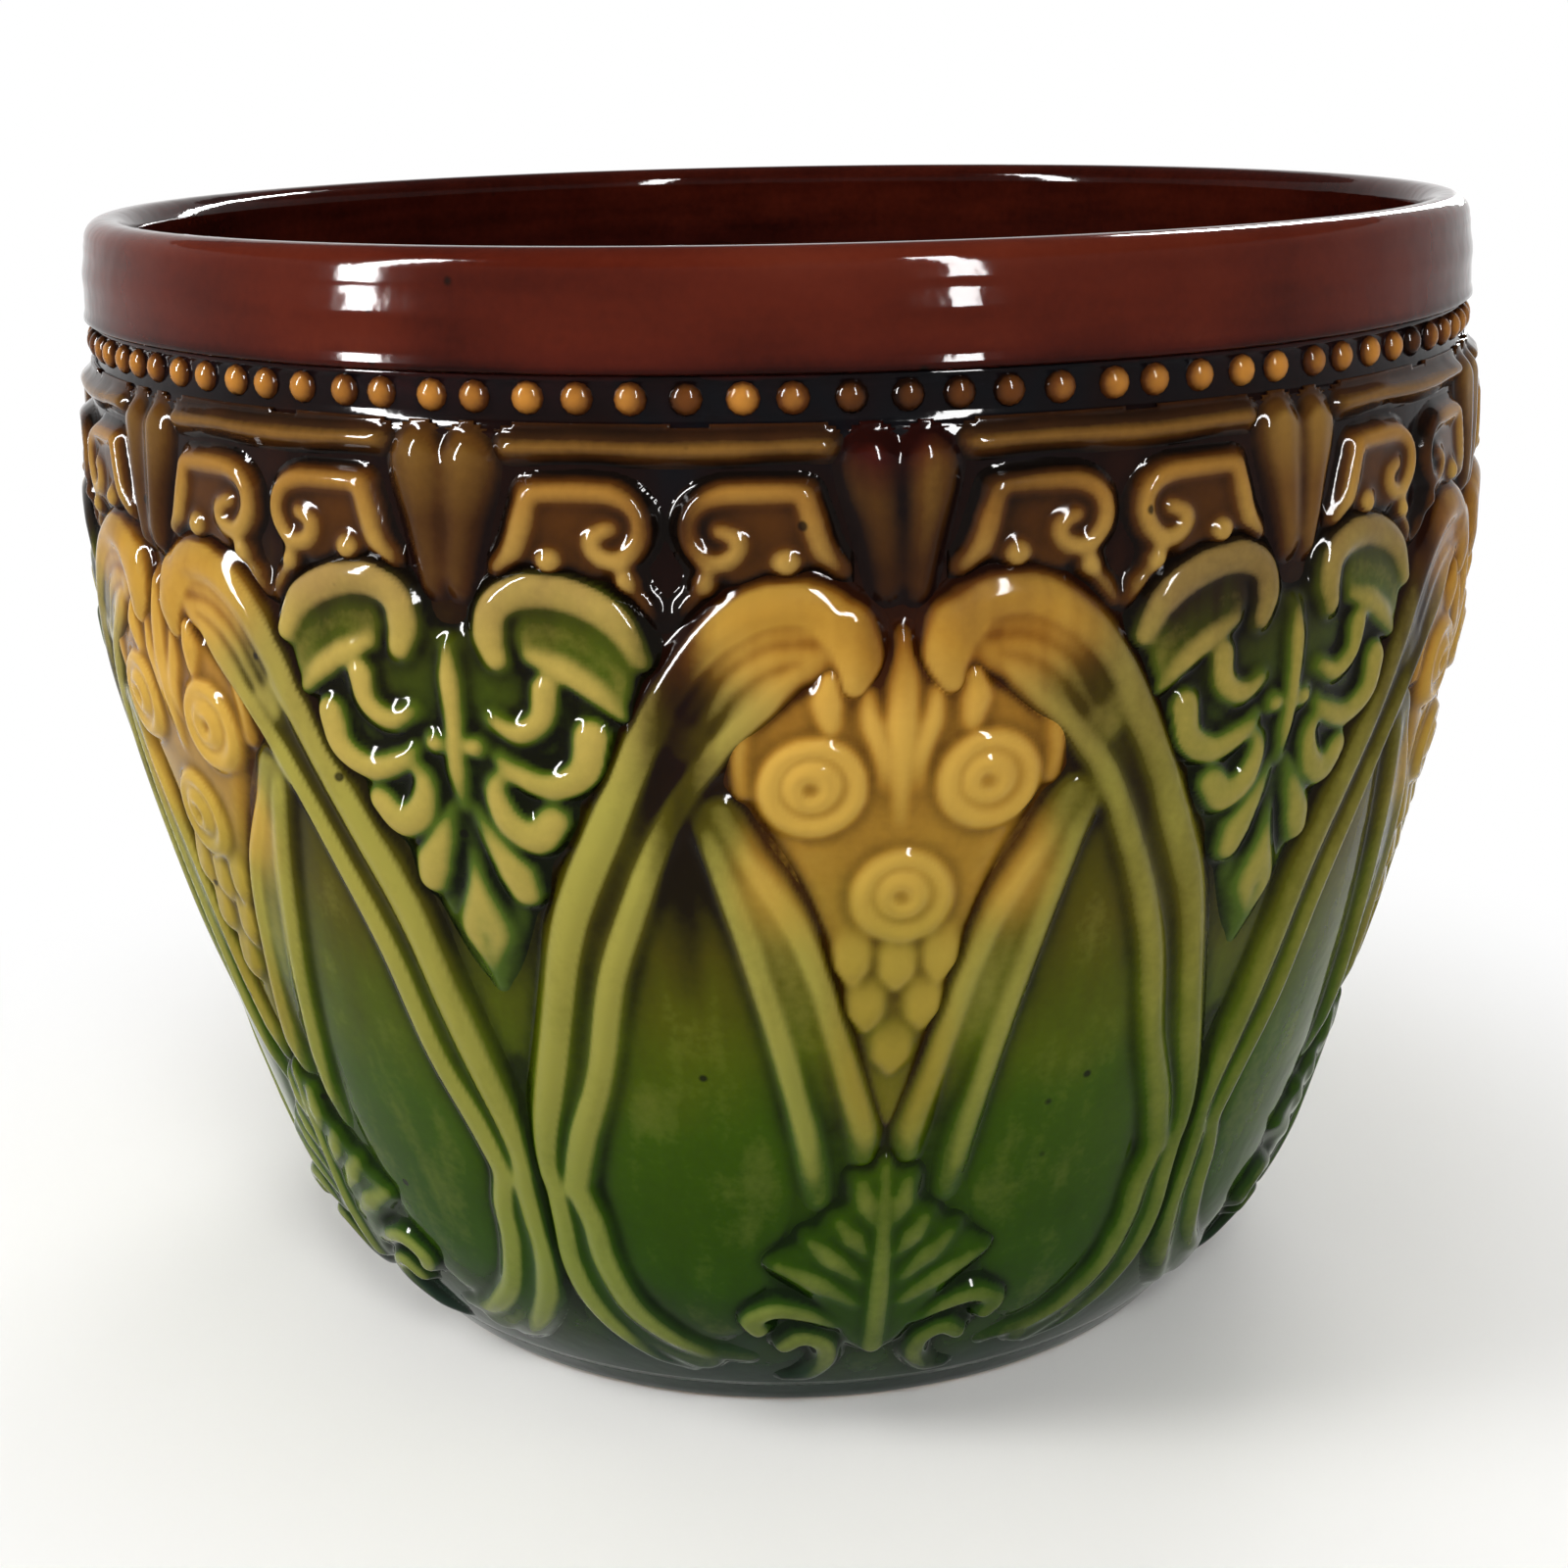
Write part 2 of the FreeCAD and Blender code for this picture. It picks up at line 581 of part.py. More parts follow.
for index in range(panels):
    turn = index * panel_angle
    for half in (0, 1):
        number = 2 * index + half + 1
        axis = turn + half * half_panel
        nodes.append(solid(f"tongue_{number:02d}", tongue_shape, axis))
        nodes.append(solid(f"volute_bracket_{number:02d}", bracket_shape, axis + half_panel / 2))
        nodes.append(solid(f"leaf_panel_{number:02d}", panel_shapes[half], axis + half_panel / 2))
    nodes.append(solid(f"flower_spray_{index + 1}", flower_shape, turn))
    nodes.append(solid(f"palmette_{index + 1}", palmette_shape, turn + half_panel))
    nodes.append(solid(f"foot_leaf_{index + 1}", foot_leaf_shape, turn))

doc.recompute()
for item in doc.Objects:
    if {"Invalid", "Error"} & set(item.State):
        raise RuntimeError(f"{item.Label} failed: {item.State}")
for node in nodes:
    if node.Shape.isNull() or not node.Shape.isValid():
        raise RuntimeError(f"{node.Label} has no valid shape")

os.makedirs("parts", exist_ok=True)
for node in nodes:
    node.Shape.exportStep(f"parts/{node.Label}.step")
print(len(nodes), "nodes written")
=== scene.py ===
import math

import bmesh
import bpy
import numpy as np
from mathutils import Matrix, Vector
from mathutils.geometry import delaunay_2d_cdt


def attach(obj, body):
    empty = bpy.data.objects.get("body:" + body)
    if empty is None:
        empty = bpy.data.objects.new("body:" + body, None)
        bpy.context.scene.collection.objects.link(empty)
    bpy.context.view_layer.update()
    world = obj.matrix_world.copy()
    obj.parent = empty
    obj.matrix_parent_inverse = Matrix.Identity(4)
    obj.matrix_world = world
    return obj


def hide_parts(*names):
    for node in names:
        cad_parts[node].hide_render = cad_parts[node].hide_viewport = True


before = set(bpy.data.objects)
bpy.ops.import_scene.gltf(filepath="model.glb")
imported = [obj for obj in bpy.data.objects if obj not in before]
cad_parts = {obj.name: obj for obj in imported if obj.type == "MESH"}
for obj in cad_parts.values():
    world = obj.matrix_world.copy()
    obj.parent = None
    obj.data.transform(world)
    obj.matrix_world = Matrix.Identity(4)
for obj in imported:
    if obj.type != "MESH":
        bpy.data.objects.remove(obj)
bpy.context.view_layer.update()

scene = bpy.context.scene
mm = 0.001
print("frame loaded:", len(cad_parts), "nodes")

# The wall as it was turned, in millimetres: outside radius and level of each knot of its curve
wall = dict(
    base=(97.0, 7.0), haunch=(116.2, 42.0), shoulder=(140.7, 140.0), belly=(143.3, 168.0), neck=(141.5, 213.5),
    thick=9.0, floorRadius=92.0, floorLevel=18.0,
)
pot = dict(height=233.0, rimRadius=141.0, lipRadius=4.0, collarStep=0.9, footRadius=91.5, footWidth=17.0)
panels = 6                                 # repeats of the relief round the pot
panelAngle = 360.0 / panels


# Wall curve: tangent arcs through the knots, upright at the belly

def tangentArc(point, lean, other):
    inX, inZ = -math.cos(lean), math.sin(lean)
    dx, dz = point[0] - other[0], point[1] - other[1]
    radius = -(dx * dx + dz * dz) / (2 * (dx * inX + dz * inZ))
    return point[0] + radius * inX, point[1] + radius * inZ, radius


def leanAt(arc, point):
    return math.atan2(arc[1] - point[1], point[0] - arc[0])


def wallArcs(base, haunch, shoulder, belly, neck):
    bellyArc = tangentArc(belly, 0.0, shoulder)
    sideArc = tangentArc(shoulder, leanAt(bellyArc, shoulder), haunch)
    footArc = tangentArc(haunch, leanAt(sideArc, haunch), base)
    neckArc = tangentArc(belly, 0.0, neck)
    return [(footArc, haunch[1]), (sideArc, shoulder[1]), (bellyArc, belly[1]), (neckArc, 1e6)]


knotNames = ("base", "haunch", "shoulder", "belly", "neck")
outerArcs = wallArcs(*(wall[k] for k in knotNames))
innerArcs = wallArcs((wall["floorRadius"], wall["floorLevel"]),
                     *((wall[k][0] - wall["thick"], wall[k][1]) for k in knotNames[1:]))


def arcRadius(arcs, level):
    level = np.asarray(level, float)
    radius = np.zeros_like(level)
    lean = np.zeros_like(level)
    below = -1e6
    for (cx, cz, r), top in arcs:
        here = (level > below) & (level <= top)
        lean[here] = np.arcsin(np.clip((level[here] - cz) / r, -1, 1))
        radius[here] = cx + r * np.cos(lean[here])
        below = top
    return radius, lean


# Length along the wall from its foot, so that the relief is pressed at its true size
levelTable = np.linspace(wall["base"][1], wall["neck"][1], 2000)
radiusTable = arcRadius(outerArcs, levelTable)[0]
lengthTable = np.concatenate(([0], np.cumsum(np.hypot(np.diff(levelTable), np.diff(radiusTable)))))

# The mould grid: one panel of the wall, unrolled
mould = dict(columns=240, rowStep=0.6, sink=0.12, depth=0.9, edge=0.05, glazeFilm=0.85,
             waver=0.22, waveAcross=6.5, waveAlong=11.0, domeReach=6.0, margin=0.5, backStep=8, backMargin=3)
colStep = panelAngle / mould["columns"]
rowLengths = np.arange(0, lengthTable[-1], mould["rowStep"])
rowLevels = np.interp(rowLengths, lengthTable, levelTable)
rowRadius, rowLean = arcRadius(outerArcs, rowLevels)
rows = len(rowLevels)


def smoothPath(points, spans=8, closed=False):
    pts = np.asarray(points, float)
    if closed:
        pts = np.vstack((pts[-1], pts, pts[:2]))
    else:
        pts = np.vstack((2 * pts[0] - pts[1], pts, 2 * pts[-1] - pts[-2]))
    steps = np.linspace(0, 1, spans, endpoint=False)[:, None]
    out = []
    for p0, p1, p2, p3 in zip(pts, pts[1:], pts[2:], pts[3:]):
        out.append(0.5 * (2 * p1 + (p2 - p0) * steps + (2 * p0 - 5 * p1 + 4 * p2 - p3) * steps ** 2
                          + (3 * p1 - p0 - 3 * p2 + p3) * steps ** 3))
    if not closed:
        out.append(pts[-2][None])
    return np.vstack(out)


def spread(values, share):
    values = np.atleast_1d(np.asarray(values, float))
    return np.interp(share, np.linspace(0, 1, len(values)), values)


def blurred(field, sigma, wrap=False):
    reach = int(math.ceil(3 * sigma))
    weight = np.exp(-0.5 * (np.arange(-reach, reach + 1) / sigma) ** 2)
    weight /= weight.sum()
    out = np.pad(field, ((reach, reach), (0, 0)), mode="edge")
    out = sum(w * out[i:i + field.shape[0]] for i, w in enumerate(weight))
    out = np.pad(out, ((0, 0), (reach, reach)), mode="wrap" if wrap else "edge")
    return sum(w * out[:, i:i + field.shape[1]] for i, w in enumerate(weight))


# Cross sections of a pressed stroke, from its middle (0) to its edge (1)
sections = dict(
    round=lambda q: np.sqrt(np.clip(1 - q * q, 0, 1)),
    soft=lambda q: np.clip(1 - q * q, 0, 1),
    flat=lambda q: np.clip((1 - q) / 0.4, 0, 1) ** 0.5,
)


class Mould:
    # A patch of the wall either side of a middle, in which a sprig is pressed as a height field

    def __init__(self, halfSpan, middle=0.0):
        self.middle = middle
        self.half = int(round(halfSpan / colStep))
        self.angles = np.arange(-self.half, self.half + 1) * colStep
        self.x = np.radians(self.angles)[None, :] * rowRadius[:, None]
        self.y = np.repeat(rowLengths[:, None], len(self.angles), 1)
        # the modeller's hand: no line is quite true
        across, along = self.x / mould["waveAcross"], self.y / mould["waveAlong"]
        self.x = self.x + mould["waver"] * np.sin(along + 1.3 * np.sin(across))
        self.y = self.y + mould["waver"] * np.sin(across * 1.2 + 1.1 * np.sin(along * 0.8))
        self.height = np.zeros_like(self.x)

    def flat(self, points):
        pts = np.asarray(points, float)
        radius = arcRadius(outerArcs, pts[:, 1])[0]
        return np.column_stack((np.radians(pts[:, 0] - self.middle) * radius,
                                np.interp(pts[:, 1], levelTable, lengthTable)))

    def paths(self, points, mirror, closed=False):
        for side in ((1, -1) if mirror else (1,)):
            yield smoothPath(self.flat([(side * a, z) for a, z in points]), closed=closed)

    def window(self, path, reach):
        low, high = path.min(0) - reach, path.max(0) + reach
        return (self.x > low[0]) & (self.x < high[0]) & (self.y > low[1]) & (self.y < high[1])

    def nearest(self, path, here):
        px, py = self.x[here][:, None], self.y[here][:, None]
        start, step = path[:-1], np.diff(path, axis=0)
        along = ((px - start[:, 0]) * step[:, 0] + (py - start[:, 1]) * step[:, 1]) / ((step ** 2).sum(1) + 1e-9)
        along = np.clip(along, 0, 1)
        gap = np.hypot(px - start[:, 0] - along * step[:, 0], py - start[:, 1] - along * step[:, 1])
        pick = gap.argmin(1)
        line = np.arange(len(pick))
        return gap[line, pick], (pick + along[line, pick]) / len(step)

    def raiseTo(self, here, value, blend=0.4):
        old = self.height[here]
        mix = np.clip(0.5 + 0.5 * (value - old) / blend, 0, 1)
        joined = old + (value - old) * mix + blend * mix * (1 - mix) * 0.5
        self.height[here] = np.where(value > 0, np.maximum(old, joined), old)

    def stroke(self, points, width, height, form="round", mirror=True):
        for path in self.paths(points, mirror):
            here = self.window(path, np.max(width) + mould["margin"])
            gap, share = self.nearest(path, here)
            self.raiseTo(here, spread(height, share) * sections[form](gap / spread(width, share)))

    def plaque(self, points, height, edge, dome=0.0, mirror=False):
        for path in self.paths(points, mirror, closed=True):
            loop = np.vstack((path, path[:1]))
            here = self.window(path, mould["margin"])
            gap, _ = self.nearest(loop, here)
            px, py = self.x[here][:, None], self.y[here][:, None]
            a, b = loop[:-1], loop[1:]
            rising = (a[:, 1] <= py) != (b[:, 1] <= py)
            cut = a[:, 0] + (py - a[:, 1]) * (b[:, 0] - a[:, 0]) / (b[:, 1] - a[:, 1] + 1e-12)
            inside = ((rising & (px < cut)).sum(1) % 2) == 1
            lift = np.clip(gap / edge, 0, 1)
            value = height * np.sqrt(lift * (2 - lift)) + dome * (1 - np.exp(-gap / mould["domeReach"]))
            self.raiseTo(here, np.where(inside, value, 0.0))

    def disc(self, centre, profile, mirror=True, curl=0.0):
        radii, heights = np.asarray(profile, float).T
        for side in ((1, -1) if mirror else (1,)):
            spot = self.flat([(side * centre[0], centre[1])])
            here = self.window(spot, radii[-1] + mould["margin"])
            dx, dy = self.x[here] - spot[0, 0], self.y[here] - spot[0, 1]
            gap, turn = np.hypot(dx, dy), np.arctan2(dy, dx)
            gap = gap + curl * np.sin(turn + 0.7 * gap)          # rings that curl in on each other
            self.raiseTo(here, np.interp(gap, radii, heights), blend=0.2)

    def pearl(self, centre, radius, height, mirror=True):
        ring = np.linspace(0, 1, 8)
        self.disc(centre, np.column_stack((radius * ring, height * np.sqrt(1 - ring ** 2))), mirror)

    def groove(self, points, width, depth, mirror=True):
        for path in self.paths(points, mirror):
            here = self.window(path, 3 * np.max(width))
            gap, share = self.nearest(path, here)
            cut = spread(depth, share) * np.exp(-(gap / spread(width, share)) ** 2)
            self.height[here] = np.maximum(self.height[here] - cut, 0.0)

    def finish(self):
        self.height = blurred(self.height, mould["glazeFilm"] / mould["rowStep"])
        return self


# Flower spray: three rosettes round a bud, over a pendant of scales. Angles in degrees, levels in millimetres

flower = dict(
    halfSpan=13.0,
    ground=((0, 170), (3, 168), (7, 163), (10.4, 156), (10.2, 146), (7.0, 132), (4.8, 114), (3.2, 100), (0, 77),
            (-3.2, 100),
            (-4.8, 114), (-7.0, 132), (-10.2, 146), (-10.4, 156), (-7, 163), (-3, 168)),
    rosettes=((5.9, 147.4), (0.2, 126.8)),
    rosette=((0, 2.0), (0.9, 2.1), (1.8, 3.0), (2.7, 3.7), (3.5, 3.7), (4.3, 2.7), (5.0, 2.0), (5.8, 2.5),
             (6.8, 3.4),
             (7.8, 3.3), (8.8, 1.9), (9.6, 0)),
    curl=0.4,
    scales=((97.0, 0.0, 4.6), (106.0, 2.1, 4.3), (114.6, 0.0, 4.2), (115.6, 3.2, 4.2)),
    # level, angle, half width
)


def pressFlower():
    m = Mould(flower["halfSpan"])
    m.plaque(flower["ground"], 1.4, 3.0)
    for level, angle, width in flower["scales"]:
        m.stroke(((angle, level + 6.0), (angle, level + 1), (angle, level - 3), (angle, level - 5.6)),
                 (0.8 * width, width, 0.85 * width, 0.3 * width), (1.5, 2.5, 3.1, 2.8), "flat",
                 mirror=angle > 0)
    m.stroke(((0, 172), (0.1, 165), (0, 157), (0, 149), (0, 140)), (2.2, 4.0, 4.4, 3.4, 2.0),
             (2.2, 2.9, 3.1, 2.8, 2.0), "soft",
             mirror=False)
    m.stroke(((2.2, 163.5), (2.0, 158.0), (1.3, 152.0), (1.3, 146.0)), (1.9, 2.5, 2.3, 1.4),
             (2.4, 3.0, 2.8, 2.0), "soft")
    m.stroke(((4.6, 165.6), (4.8, 161.8), (4.6, 157.6)), (2.4, 3.2, 2.2), (2.7, 3.2, 2.6))
    m.stroke(((9.2, 161), (10.6, 154.6), (10.4, 146)), (2.0, 3.2, 2.0), (1.8, 2.4, 1.8), "soft")
    for spot in flower["rosettes"]:
        m.disc(spot, flower["rosette"], mirror=spot[0] > 1, curl=flower["curl"])
    return m.finish()


# Palmette: a spine with paired scrolling leaves above a hanging lozenge

palmette = dict(
    halfSpan=16.0,
    ground=((0, 172), (4, 178), (9, 177), (12.8, 169), (11.0, 157), (7.6, 143), (4.8, 127), (0, 106),
            (-4.8, 127), (-7.6, 143),
            (-11.0, 157), (-12.8, 169), (-9, 177), (-4, 178)),
    leaf=((13.4, 166.4), (11.8, 174), (8.4, 178.4), (5.4, 178), (4.4, 172), (5.6, 167.4), (9.0, 163),
          (12.2, 158.6)),
    lozenge=((0, 134), (1.0, 127.5), (2.4, 118.0), (1.1, 111), (0, 104.6), (-1.1, 111), (-2.4, 118.0),
             (-1.0, 127.5)),
)


def pressPalmette():
    m = Mould(palmette["halfSpan"])
    m.plaque(palmette["ground"], 1.0, 3.0)
    m.plaque(palmette["leaf"], 2.12, 2.0, mirror=True)
    m.plaque(palmette["lozenge"], 3.0, 4.0)
    m.groove(((0, 117), (0, 112), (0, 107)), 0.9, 0.7, mirror=False)
    m.stroke(((1.0, 141), (2.0, 135.8), (3.3, 130), (3.8, 126.4)), (1.5, 3.0, 4.3, 3.7), (1.8, 2.7, 3.3, 3.1))
    m.stroke(((6.7, 140.6), (5.3, 137.2), (3.5, 139.8), (2.8, 145), (3.6, 148.8)), (3.8, 4.1, 3.6, 2.8, 1.9),
             (3.0, 3.5, 3.4, 2.9, 2.2))
    m.stroke(((9.9, 155.6), (9.3, 149.8), (7.0, 146.8), (4.4, 148.6), (3.2, 150.8)), (3.8, 3.6, 3.2, 2.8, 1.9),
             (3.5, 3.5, 3.3, 2.9, 2.2))
    m.stroke(((6.9, 163.6), (6.5, 158.6), (4.8, 155.9), (3.0, 157.6)), (3.1, 2.8, 2.7, 2.0),
             (3.5, 3.2, 3.1, 2.5))
    m.stroke(((12.2, 159.0), (10.4, 163.4), (8.2, 166.8), (5.8, 169.2)), (2.2, 2.9, 3.0, 2.2),
             (2.4, 3.0, 3.1, 2.6))
    m.stroke(((13.6, 168.6), (11.9, 175.2), (8.9, 179.0), (5.7, 179.7), (3.6, 177.0), (3.1, 172.4),
              (3.5, 168.4)),
             (2.8, 3.6, 3.8, 3.8, 3.7, 3.7, 3.0), (2.9, 3.5, 3.5, 3.5, 3.5, 3.5, 3.1))
    m.stroke(((0, 170), (0.1, 164), (0.2, 157), (0, 148), (0, 141)), (1.7, 3.0, 2.8, 2.9, 1.5),
             (2.4, 3.3, 3.0, 3.0, 2.0), "soft",
             mirror=False)
    m.pearl((1.5, 152.4), 2.4, 3.1)
    return m.finish()


# Leaf panel: a smooth pod between two double-ribbed straps. Angles count from the flower's middle

leafPanel = dict(
    halfSpan=15.5, middle=15.0,
    archOuter=((28.7, 64), (28.5, 71), (27.7, 80), (25.5, 100), (23.2, 120), (20.0, 139), (16.6, 156),
               (13.8, 167.4), (10.8, 174.4),
               (7.6, 177.4), (4.9, 176.0), (3.1, 171.0)),
    archInner=((26.6, 62), (25.0, 75), (22.6, 90), (20.5, 110), (18.0, 127), (15.0, 143), (11.9, 154),
               (8.8, 161.8), (6.6, 167.6)),
    footOuter=((28.6, 66), (28.4, 60), (28.5, 53), (28.7, 44), (27.8, 34.6), (25.7, 26.0), (22.5, 18.2),
               (19.6, 14.4)),
    footInner=((26.4, 64), (26.1, 60), (25.4, 54), (25.1, 45), (23.5, 34), (20.3, 26.2), (17.0, 21.6),
               (13.0, 18.4)),
    veeOuter=((1.9, 71), (2.1, 78), (3.1, 88), (4.3, 100), (5.6, 112), (7.2, 122), (9.4, 131), (11.8, 141)),
    veeInner=((5.4, 61), (6.0, 69), (6.8, 80), (8.5, 98), (9.9, 112), (11.0, 123), (12.6, 136), (13.6, 143)),
    pod=((14.6, 146), (17.2, 130), (19.4, 110), (21.4, 92), (23.6, 74), (24.3, 58), (23.8, 44), (20.8, 31),
         (16.6, 24.0),
         (12.6, 28), (9.6, 46), (7.4, 64), (8.0, 88), (10.0, 110), (12.4, 130)),
    hood=((3.0, 177), (7.4, 179.4), (11.2, 175), (14.2, 166), (16.4, 156), (14.4, 149), (11.0, 155),
          (7.4, 162.6), (4.4, 166.4)),
    veins=(((5.4, 174.6), (8.6, 174.2), (11.8, 169.4), (14.6, 160.4)),
           ((5.6, 171.6), (8.6, 170.8), (11.4, 166.2), (13.6, 158.4)),
           ((6.6, 168.4), (8.8, 166.6), (10.8, 162.6), (12.4, 156.8))),
    veinWidth=0.75, veinDepth=0.55,
    straps=(  # the two ribs, the width and the height of the clay between them
        ("archOuter", "archInner", 6.0, 1.5), ("footOuter", "footInner", 4.6, 1.8),
        ("veeOuter", "veeInner", 5.6, (0.3, 1.3, 1.9, 2.1, 2.1, 2.1, 2.1, 2.1)),
    ),
    strapParts=dict(archOuter=slice(0, 10), veeOuter=slice(1, None)),      # the curl and the foot stay open
    ribs=(  # half widths and heights along each rib
        ("archOuter", (3.6, 4.0, 4.4, 4.8, 5.0, 5.0, 4.9, 5.0, 5.4, 6.0, 6.4, 6.0),
         (3.0, 3.2, 3.3, 3.3, 3.3, 3.3, 3.3, 3.4, 3.5, 3.5, 3.5, 3.4)),
        ("archInner", (4.2, 4.2, 4.0, 4.0, 4.0, 3.9, 3.6, 3.3, 2.8),
         (2.9, 3.1, 3.1, 3.1, 3.1, 3.1, 3.0, 2.8, 2.4)),
        ("footOuter", (3.6, 3.6, 3.7, 3.8, 3.8, 3.7, 3.4, 2.6), (3.0, 3.1, 3.1, 3.1, 3.0, 2.7, 1.9, 0.8)),
        ("footInner", (3.8, 3.7, 3.7, 3.8, 3.8, 3.7, 3.4, 2.6), (2.9, 3.0, 3.1, 3.1, 3.0, 2.8, 2.1, 0.8)),
        ("veeOuter", (3.0, 4.0, 3.7, 3.5, 3.5, 3.5, 3.3, 2.5), (1.6, 2.8, 3.1, 3.1, 3.1, 3.1, 2.8, 2.0)),
        ("veeInner", (2.6, 3.3, 3.5, 3.4, 3.4, 3.4, 3.2, 2.4), (0.8, 2.3, 3.0, 3.1, 3.1, 3.1, 2.8, 2.0)),
    ),
)


def between(first, second):
    # the line half-way between two ribs, level for level
    first, second = (np.asarray(line)[np.argsort(np.asarray(line)[:, 1])] for line in (first, second))
    levels = np.linspace(max(first[0, 1], second[0, 1]), min(first[-1, 1], second[-1, 1]), 8)
    lines = [np.interp(levels, line[:, 1], line[:, 0]) for line in (first, second)]
    return np.column_stack((0.5 * (lines[0] + lines[1]), levels))


def pressLeafPanel():
    p = leafPanel
    m = Mould(p["halfSpan"], p["middle"])
    m.plaque(p["pod"], 0.5, 4.0, dome=0.6)
    m.plaque(p["hood"], 2.3, 4.0)
    whole = slice(None)
    for outer, inner, width, height in p["straps"]:
        line = between(p[outer][p["strapParts"].get(outer, whole)], p[inner])
        m.stroke(line, width, height, "flat", mirror=False)
    for name, width, height in p["ribs"]:
        m.stroke(p[name], width, height, "soft", mirror=False)
    m.stroke(((3.3, 174.0), (2.8, 168.6), (3.1, 164.8)), (5.0, 5.2, 3.6), (3.4, 3.6, 3.1), mirror=False)
    for vein in p["veins"]:
        m.groove(vein, p["veinWidth"], p["veinDepth"], mirror=False)
    return m.finish()


# Volute brackets: two facing scrolls that roll into eyes over a pointed drop

bracket = dict(halfSpan=12.0)


def pressBracket():
    m = Mould(bracket["halfSpan"])
    m.plaque(((8.6, 194.6), (5, 195), (2.4, 193.6), (1.8, 188), (2.6, 183.6), (4.4, 180.4), (7.2, 182.4),
              (10.4, 183.4), (9.6, 188)),
             1.5, 2.2, mirror=True)
    m.stroke(((11.2, 183.0), (10.0, 186.2), (9.4, 190.4), (8.9, 194.4)), (2.0, 2.6, 2.6, 2.3),
             (2.2, 2.9, 3.0, 3.0))
    m.stroke(((9.0, 195.2), (6.0, 195.5), (3.2, 195.2), (1.7, 192.8), (1.5, 188.6), (2.7, 184.8), (4.3, 185.6),
              (4.7, 188.2), (3.4, 189.8)),
             (2.0, 2.1, 2.1, 2.1, 2.2, 2.1, 1.9, 1.6, 1.4), (2.9, 3.0, 3.1, 3.2, 3.2, 3.1, 3.0, 3.0, 3.0))
    m.stroke(((0.5, 174.8), (1.1, 177.4), (2.1, 180.2)), (1.3, 1.9, 1.6), (1.7, 2.4, 2.3), "soft")
    m.pearl((2.4, 181.4), 2.5, 3.3)
    m.pearl((7.6, 184.2), 2.9, 3.3)
    return m.finish()


# Tongue: a fluted drop with a two-lobed head

tongue = dict(
    halfSpan=5.5,
    outline=((0, 202.6), (1.8, 204.4), (3.7, 201.8), (3.8, 197), (3.0, 190), (2.3, 183.6), (1.5, 177.4),
             (0, 179.4), (-1.5, 177.4),
             (-2.3, 183.6), (-3.0, 190), (-3.8, 197), (-3.7, 201.8), (-1.8, 204.4)),
)


def pressTongue():
    m = Mould(tongue["halfSpan"])
    m.plaque(tongue["outline"], 2.2, 2.6)
    m.stroke(((1.75, 200.4), (1.5, 193), (1.15, 186), (0.8, 179.4)), (4.6, 4.0, 3.1, 2.2), (2.8, 2.8, 2.7, 2.2),
             "soft")
    m.groove(((0, 204), (0, 197), (0, 190), (0, 178)), (0.9, 0.8, 0.9, 0.9), (0.9, 0.3, 0.35, 0.4),
             mirror=False)
    return m.finish()


# Foot leaf: an acanthus leaf rising from two pairs of volutes

footLeaf = dict(
    halfSpan=14.5,
    ground=((0, 70.5), (2.2, 68.0), (3.2, 62), (5.2, 57.6), (7.0, 53), (10.0, 48.6), (8.0, 41), (5.0, 33),
            (2.8, 24), (0, 21.5),
            (-2.8, 24), (-5.0, 33), (-8.0, 41), (-10.0, 48.6), (-7.0, 53), (-5.2, 57.6), (-3.2, 62),
            (-2.2, 68.0)),
    lobes=(
        (((0.9, 56), (1.5, 61), (2.0, 66.0)), (2.8, 4.4, 3.4)),
        (((1.3, 48.5), (2.6, 53), (3.8, 57.0)), (2.8, 4.6, 3.4)),
        (((1.8, 42.5), (4.2, 48.0), (6.2, 52.6)), (3.0, 4.7, 3.4)),
        (((2.0, 36.5), (5.6, 42.2), (9.4, 47.0)), (3.2, 4.9, 3.4)),
    ),
)


def pressFootLeaf():
    m = Mould(footLeaf["halfSpan"])
    m.plaque(footLeaf["ground"], 2.0, 3.0)
    for points, width in footLeaf["lobes"]:
        m.stroke(points, width, (2.4, 3.0, 2.5), "soft")
    m.stroke(((3.8, 30.4), (6.6, 33.8), (9.6, 35.2), (11.9, 32.8), (11.2, 29.4)), (2.2, 3.0, 3.2, 3.3, 2.8),
             (2.2, 2.9, 3.2, 3.3, 3.1))
    m.stroke(((9.0, 11.6), (6.6, 13.8), (4.7, 19.4), (4.9, 25.0), (6.9, 27.4), (8.7, 24.8)),
             (2.0, 2.8, 3.0, 3.0, 3.0, 2.8),
             (1.2, 2.2, 2.8, 3.1, 3.3, 3.2))
    m.stroke(((0, 70), (0, 56), (0, 40), (0, 24)), (2.2, 2.8, 3.2, 3.6), (2.5, 3.0, 3.3, 3.2), "soft",
             mirror=False)
    return m.finish()


# Fillet bars under the beads

filletBar = dict(halfSpan=12.0, level=202.4, reach=10.3, width=1.8, height=2.5)


def pressFillet():
    f = filletBar
    m = Mould(f["halfSpan"])
    m.stroke(((-f["reach"], f["level"]), (0, f["level"]), (f["reach"], f["level"])), f["width"], f["height"],
             mirror=False)
    return m.finish()


sprigs = dict(flower=pressFlower(), palmette=pressPalmette(), leafPanel=pressLeafPanel(),
              bracket=pressBracket(),
              tongue=pressTongue(), footLeaf=pressFootLeaf(), fillet=pressFillet())
print("sprigs pressed:", ", ".join(sprigs))

